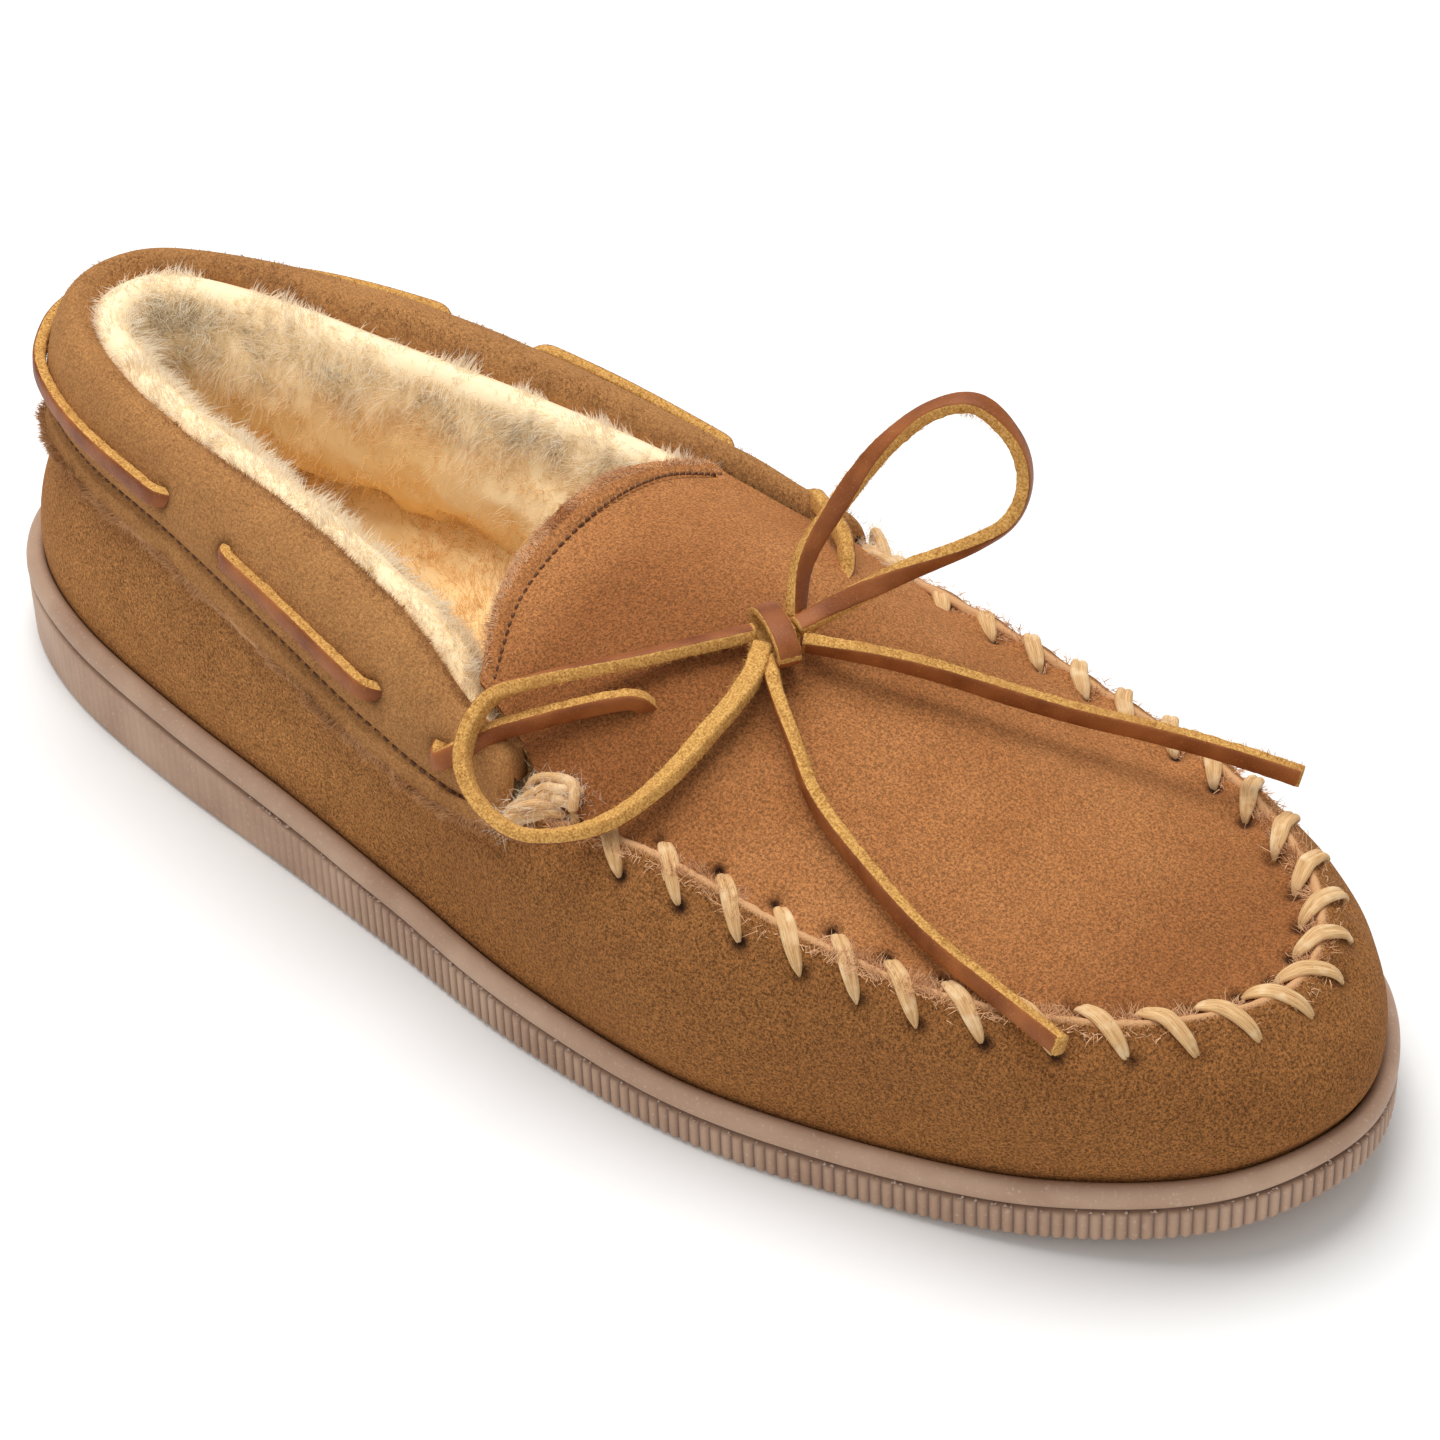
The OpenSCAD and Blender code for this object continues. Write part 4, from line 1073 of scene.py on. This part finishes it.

# Plug and tongue: one panel of redder suede, sewn into the wrap round the toe and free as a
# tongue behind, where its rolled edge is held by one row of machine stitching. It bends at
# the instep.
SIDE_OUT = np.array([
    (141, -31, 51), (154, -35.5, 48.5), (168, -39.3, 47), (184, -41.3, 44.5), (199, -41, 42.7),
    (214, -39.3, 41.5), (228, -37.4, 40.3), (241, -34.8, 39.5), (252, -30.2, 38.6)])
SIDE_IN = np.array([
    (135, 33.5, 55), (152, 36, 50.5), (170, 37, 46.3), (187, 37.3, 43), (202, 37, 41),
    (217, 36.3, 39.5), (232, 34.9, 38.4), (245, 32.8, 37.5), (256, 28.6, 37)])
TOE_EDGE = np.array([
    (252, -30.2, 38.6), (265, -20.4, 37.5), (273.4, -10.5, 36.4), (276.8, 1, 35.5),
    (274.3, 12.5, 35.9), (267.9, 20.4, 36.5), (256, 28.6, 37)])
REAR_EDGE = np.array([
    (141, -31, 51), (134.5, -17, 59.5), (132, 2, 63.5), (131.5, 20, 61), (135, 33.5, 55)])
PLUG_CROWN, TONGUE_LINE = 9.5, 0.033
PLUG_SUEDE = suede("cow_split_suede_plug", "#83502b", "#a0683c", "#ac7446", "#dcae84", 0.75)


def plug_skin(a, c):
    """The plug and tongue: a Coons patch over its four edges, a from rear to toe and c from
    the outer to the inner side, arched by the crown."""
    a, c = np.broadcast_arrays(np.asarray(a, float), np.asarray(c, float))
    aa, cc = a[..., None], c[..., None]
    corners = ((SIDE_OUT[0] * (1 - cc) + SIDE_IN[0] * cc) * (1 - aa)
               + (SIDE_OUT[8] * (1 - cc) + SIDE_IN[8] * cc) * aa)
    crown = PLUG_CROWN * (1 - ease((a - 0.1) / 1.05)) * (1 - a**6) * ease(a / 0.3)
    return (along(SIDE_OUT, a) * (1 - cc) + along(SIDE_IN, a) * cc + along(REAR_EDGE, c) * (1 - aa)
            + along(TOE_EDGE, c) * aa - corners
            + UP * (crown * (1 - np.abs(2 * c - 1) ** 2.2))[..., None])


PLUG_LONG = 150
a = np.linspace(0, 1, 250)[:, None]
c = np.linspace(0, 1, 150)[None]
c = (0.5 - 0.5 * np.cos(np.pi * c)) * 0.55 + c * 0.45
ac = np.broadcast_arrays(a, c)
top, facing = plug_skin(*ac), normal_of(plug_skin, *ac)
width = np.linalg.norm(plug_skin(a, 1 + 0 * a) - plug_skin(a, 0 * a), axis=-1)
to_seam = np.minimum(np.minimum(c * width, (1 - c) * width), (1 - a) * 130)
from_rear = a * PLUG_LONG
sewn = ease((a - 0.32) / 0.1)
toe_side = ease((a - 0.8) / 0.15) + ease((c - 0.6) / 0.3)
gathered = 0.45 + 0.6 * np.clip(toe_side, 0, 1)
swell = gathered * bell(to_seam - 3.4, 3.6) * sewn
dimple = near(top, plug_holes, 2.8) * (0.5 + 0.5 * gathered) + near(top, plug_holes, 1.1) * 0.9
creases = cloud(top, 30, 91) * 0.8 + cloud(top, 12, 92) * 0.24
x, y = top[..., 0], top[..., 1]
fold = 0.9 * bell(x - 178 - 0.25 * (y - 14), 2.6) * bell(y - 27, 9)
past_line = TONGUE_LINE * PLUG_LONG - from_rear
seam_line = bell(past_line, 0.6) * 0.5 * ease((c - 0.03) / 0.02) * ease((0.97 - c) / 0.02)
rolled = 0.5 * ease(past_line / 2.5) - 0.7 * ease((1.2 - from_rear) / 1.2) ** 2
height = swell - dimple * sewn + creases * ease(to_seam / 5) - fold - seam_line + rolled
top = top + facing * height[..., None]
top[..., 2] += 1.2 * bell(to_seam, 2.4) * sewn
# the panel's border is drawn out over the seam, and down in a notch beside the collar's end
spread_from = plug_skin(np.minimum(a, 0.8), 0.5 + 0 * a)
away = unit((top - spread_from) * [1, 1, 0])
top = top + (away - 0.45 * UP) * (3.4 * bell(a - 0.24, 0.08) * bell(to_seam, 5))[..., None]
top = top + away * (1.5 * bell(to_seam, 2.6) * sewn)[..., None]
raw = np.maximum(bell(to_seam, 1.0) * sewn, 0.35 * ease(1.0 - from_rear))
# painted shade in the needle holes
hole = np.clip(near(top, plug_holes, 1.25) * 1.5, 0, 1) * sewn
# painted shade in front of the bow's outer side, where the bow and lace shade the plug, and darker
# towards the toe
x, y = top[..., 0], top[..., 1]
worn = 0.85 * ease((202 - x) / 28) * ease((18 - y) / 28) * ease((x - 140) / 12)
worn = worn + 0.7 * ease((x - 240) / 26)
plug = slab("plug_and_tongue", top, top - facing * SUEDE_T, PLUG_SUEDE, body=None, bulge=0.5,
            raw=(raw * (0.55 + 0.45 * cloud(top, 4, 93)), 0.6), hole=(hole, 0), worn=worn)
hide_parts("plug", "tongue_flap")
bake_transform(plug)

for name, node, body, span, side, deep, seed in (
    ("plug_wool", "plug_lining", SHOE, (0.21, 0.95), 0.08, 4.2, 95),
    ("tongue_wool", "tongue_lining", TONGUE, (0.03, 0.165), 0.06, 3.8, 97),
):
    a = np.linspace(*span, 90 if body == SHOE else 30)[:, None]
    c = np.linspace(side, 1 - side, 60)[None]
    fade = ease((0.6 - a) / 0.5) if body == SHOE else ease((a - 0.03) / 0.13)
    bow = 0.1 * (2 * c - 1) ** 2 * fade
    ac = np.broadcast_arrays(a - bow, c)
    up_side = raised(plug_skin, *ac, -(SUEDE_T + 0.5))
    down_side = raised(plug_skin, *ac, -(SUEDE_T + deep))
    down_side[..., 2] -= tufts(down_side, seed) * 0.35
    wool_sheet = slab(name, up_side, down_side, SHEARLING, body, bulge=0.4,
                      tip=np.full(up_side.shape[:2], 0.6), honey=np.full(up_side.shape[:2], 0.35))
    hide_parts(node)

edge_rows, edge_ways = top[:5], facing[:5] + unit(top[:1] - top[6:7])
roots, ways = scatter(edge_rows, edge_ways, 2600, 161)
hair = locks("tongue_edge_hair", roots, ways, 1.3, 0.06, 162, np.zeros(2600), 0.3, TONGUE,
             PLUG_SUEDE, 1.0)

cut_c = np.linspace(0.035, 0.965, 42)
line_a = np.full(42, TONGUE_LINE)
tongue_thread = bars("tongue_thread", raised(plug_skin, line_a, cut_c, -0.2),
                     raised(plug_skin, line_a, cut_c + 0.0165, -0.2),
                     normal_of(plug_skin, line_a, cut_c), POLYESTER, THREAD_R, TONGUE)
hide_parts("tongue_stitching")

# Whipstitches: two strands of waxed cotton cord, each laid over the raw seam from a hole in
# the wrap to the next hole back in the plug, pressed flat together in the middle and drawn
# to a point at the holes. Between the stitches the torn edges stand up as pale fuzz.
def cotton():
    """Waxed cotton cord: fine fibres drawn along the strand, a dull waxy cream."""
    m, out = begin("waxed_cotton_cord")
    uv = add(m, "UVMap", uv_map="along").outputs[0]
    # fibres 0.3 mm across and 4 mm long, wear 3 mm
    drawn = add(m, "Mapping", {"Vector": uv}, {"Scale": (0.25, 3.2, 1)}).outputs[0]
    fibre = add(m, "TexNoise", {"Vector": drawn}, {"Scale": 1.0, "Detail": 3, "Distortion": 0.3})
    fibre = fibre.outputs["Fac"]
    colour = blend_colour(m, levels(m, fibre, 0.34, 0.6), "#b58752", "#e0b986")
    colour = blend_colour(m, levels(m, noise(m, 330, 2), 0.5, 0.8), colour, "#ecd0a6")
    return finish_surface(m, out, fibre, 0.5, 0.00015, {"Base Color": colour},
                          {"Roughness": 0.7, "Specular IOR Level": 0.2})


CORD = cotton()
STRAND_R = 0.86
u = np.linspace(0, 1, 24)
turn = np.linspace(0, 2 * np.pi, 14, endpoint=False)
rings, uvs = [], []


def strand(rows, wobble, radius, flat, index):
    """A tapering cord on a spline through rows: rings of a flattened ellipse with three
    shallow plies, and its uv in mm along and round."""
    line = along(rows, u) + wobble
    way = unit(np.gradient(line, axis=0))
    x = unit(np.cross(way, UP))
    y = np.cross(x, way)
    r = radius[:, None] * (1 + 0.06 * np.cos(3 * turn[None] + 5 * u[:, None]))
    run = run_along(line)[:, None] + 17 * index
    uvs.append(np.stack(np.broadcast_arrays(run, 2 * np.abs(turn - np.pi)), -1))
    rings.append(line[:, None] + (x[:, None] * np.cos(turn)[None, :, None] * 1.02
                                  + y[:, None] * np.sin(turn)[None, :, None] * flat) * r[..., None])


rng = np.random.default_rng(29)
for m, n, d, index in zip(stitch_at, stitch_out, stitch_way, range(STITCHES)):
    slack = rng.normal(0, 0.22, 3)
    puff = 1.2 * ease(stitch_s[index] - 10.3) * ease(16.0 - stitch_s[index])
    for side in (-1, 1):
        rows = [m + n * 3.4 - UP * 4.0 + d * 4.1,
                m + n * (3.3 + puff) - UP * (1.9 - 0.5 * puff) + d * 3.5,
                m + n * (2.2 + 0.8 * puff) + UP * (0.1 + puff) + d * 2.1,
                m + n * 0.2 + UP * (1.6 + 0.6 * slack[0] + 0.7 * puff),
                m - n * 1.7 + UP * (1.6 + 0.4 * puff) - d * 2.2, m - n * 2.9 + UP * 0.9 - d * 3.5,
                m - n * 3.3 - UP * 1.2 - d * 4.1]
        belly = np.sin(np.pi * u) ** 0.85
        apart = side * unit(d - 0.6 * n) * (0.66 * belly)[:, None]
        strand(rows, apart + slack[1] * n * belly[:, None] * 0.5,
               STRAND_R * (0.2 + 0.8 * belly) * (1 + 0.1 * slack[2] * side), 0.72,
               2 * index + (side > 0))
stitches = many("whipstitch_cord", np.array(rings), CORD, uv=np.concatenate(uvs).reshape(-1, 2))
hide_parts("plug_whipstitches")

# Torn edge: the two raw suede edges between the stitches, whose pale fibres were pulled
# loose by cutting and sewing and stand up in all directions.
FUZZ = 10000
fuzz_s = rng.uniform(7.5, 16.5, FUZZ)
fuzz_at, fuzz_out, fuzz_way = loop(SEAM, fuzz_s), outward(SEAM, fuzz_s), seam_way(fuzz_s)
fuzz_at = fuzz_at + fuzz_out * rng.normal(0, 1.2, (FUZZ, 1)) + UP * 0.8
leaning = UP * 0.5 + fuzz_way * rng.normal(0, 1.0, (FUZZ, 1))
leaning = leaning + fuzz_out * rng.normal(0, 0.9, (FUZZ, 1))
fuzz = locks("torn_edge_fuzz", fuzz_at, leaning, 2.3, 0.08, 131, np.zeros(FUZZ), 0.3,
             material=PLUG_SUEDE)

# Where the whipstitching starts and ends the cord is knotted and bunched, and its cut ends
# have frayed.
rng = np.random.default_rng(17)
rings, uvs, frayed = [], [], []
BUNCH_LOOPS, WISPS = 11, 200
for at in (7.42, 16.6):
    m, n, d = loop(SEAM, at), outward(SEAM, at), seam_way(at)
    d = d if at < 12 else -d
    for k in range(BUNCH_LOOPS):
        lift = 1.4 + k % 3
        rows = [m + n * (3.0 - 0.5 * k) - d * 4.4 + UP * 0.2,
                m + n * (1.6 - 0.5 * k) - d * 1.8 + UP * lift,
                m - n * (0.2 + 0.3 * k) + d * (0.4 + 0.4 * k) + UP * (lift + 0.6),
                m - n * 2.0 + d * (2.6 + 0.3 * k) + UP * lift * 0.7,
                m - n * 2.4 + d * 4.4 - UP * 0.6]
        rows = m + 1.5 * (np.array(rows) - m) - UP * 0.2 + rng.normal(0, 1.0, (5, 3))
        strand(rows, 0, 0.95 * (0.5 + 0.5 * np.sin(np.pi * u)), 0.85, k)
        frayed.append(along(rows, rng.uniform(0.05, 1.0, WISPS)))
bunch = many("bunched_cord", np.array(rings), CORD, uv=np.concatenate(uvs).reshape(-1, 2))
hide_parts("seam_knots")
frayed = np.concatenate(frayed)
frayed = frayed + rng.normal(0, 0.8, frayed.shape)
wisps = locks("frayed_wisps", frayed, 0.35 * UP + rng.normal(0, 1.0, frayed.shape), 3.0, 0.06,
              141, np.zeros(len(frayed)), 0.5)

# Bow knot: the lace's last turn, drawn tight over the crossing strands.
KNOT = np.array([182, -5, 63.4])
turn = np.linspace(0, 2 * np.pi, 73)[:-1]
path = KNOT + np.stack([5.4 * np.cos(turn), -3.1 * np.cos(turn), 3.0 * np.sin(turn)], -1)
away = unit(path - KNOT)
ring, grain = strip(np.concatenate([path, path[:1]]), np.concatenate([away, away[:1]]),
                    4.0, 1.7, 22, 0.08, 7)
knot = shell("bow_knot", ring[:-1], COWHIDE, loop_rows=True, grain=grain[:-1])
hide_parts("lace_knot")

# Lace fibres: short golden fibres of the same hide, standing off the lace's raw edges and
# flesh side where the blade cut it.
for name, (path, facing) in zip([*BOW, "collar_lace"], lace_paths):
    count = 9 * len(path)
    at = rng.integers(1, len(path) - 1, count)
    way = unit(np.gradient(path, axis=0))
    face = square_to(facing, way)
    side = np.cross(way, face) * rng.choice((-1, 1), (len(path), 1))
    low = rng.uniform(-0.5, 0.25, (count, 1)) * LACE_T
    roots = path[at] + side[at] * LACE_W * 0.48 + face[at] * low
    roots = roots + way[at] * rng.uniform(-0.3, 0.3, (count, 1))
    fibres = locks(name + "_fibres", roots, side[at] + rng.normal(0, 0.6, (count, 3)), 0.9, 0.03,
                   151, np.zeros(count), 0.2, material=COWHIDE)
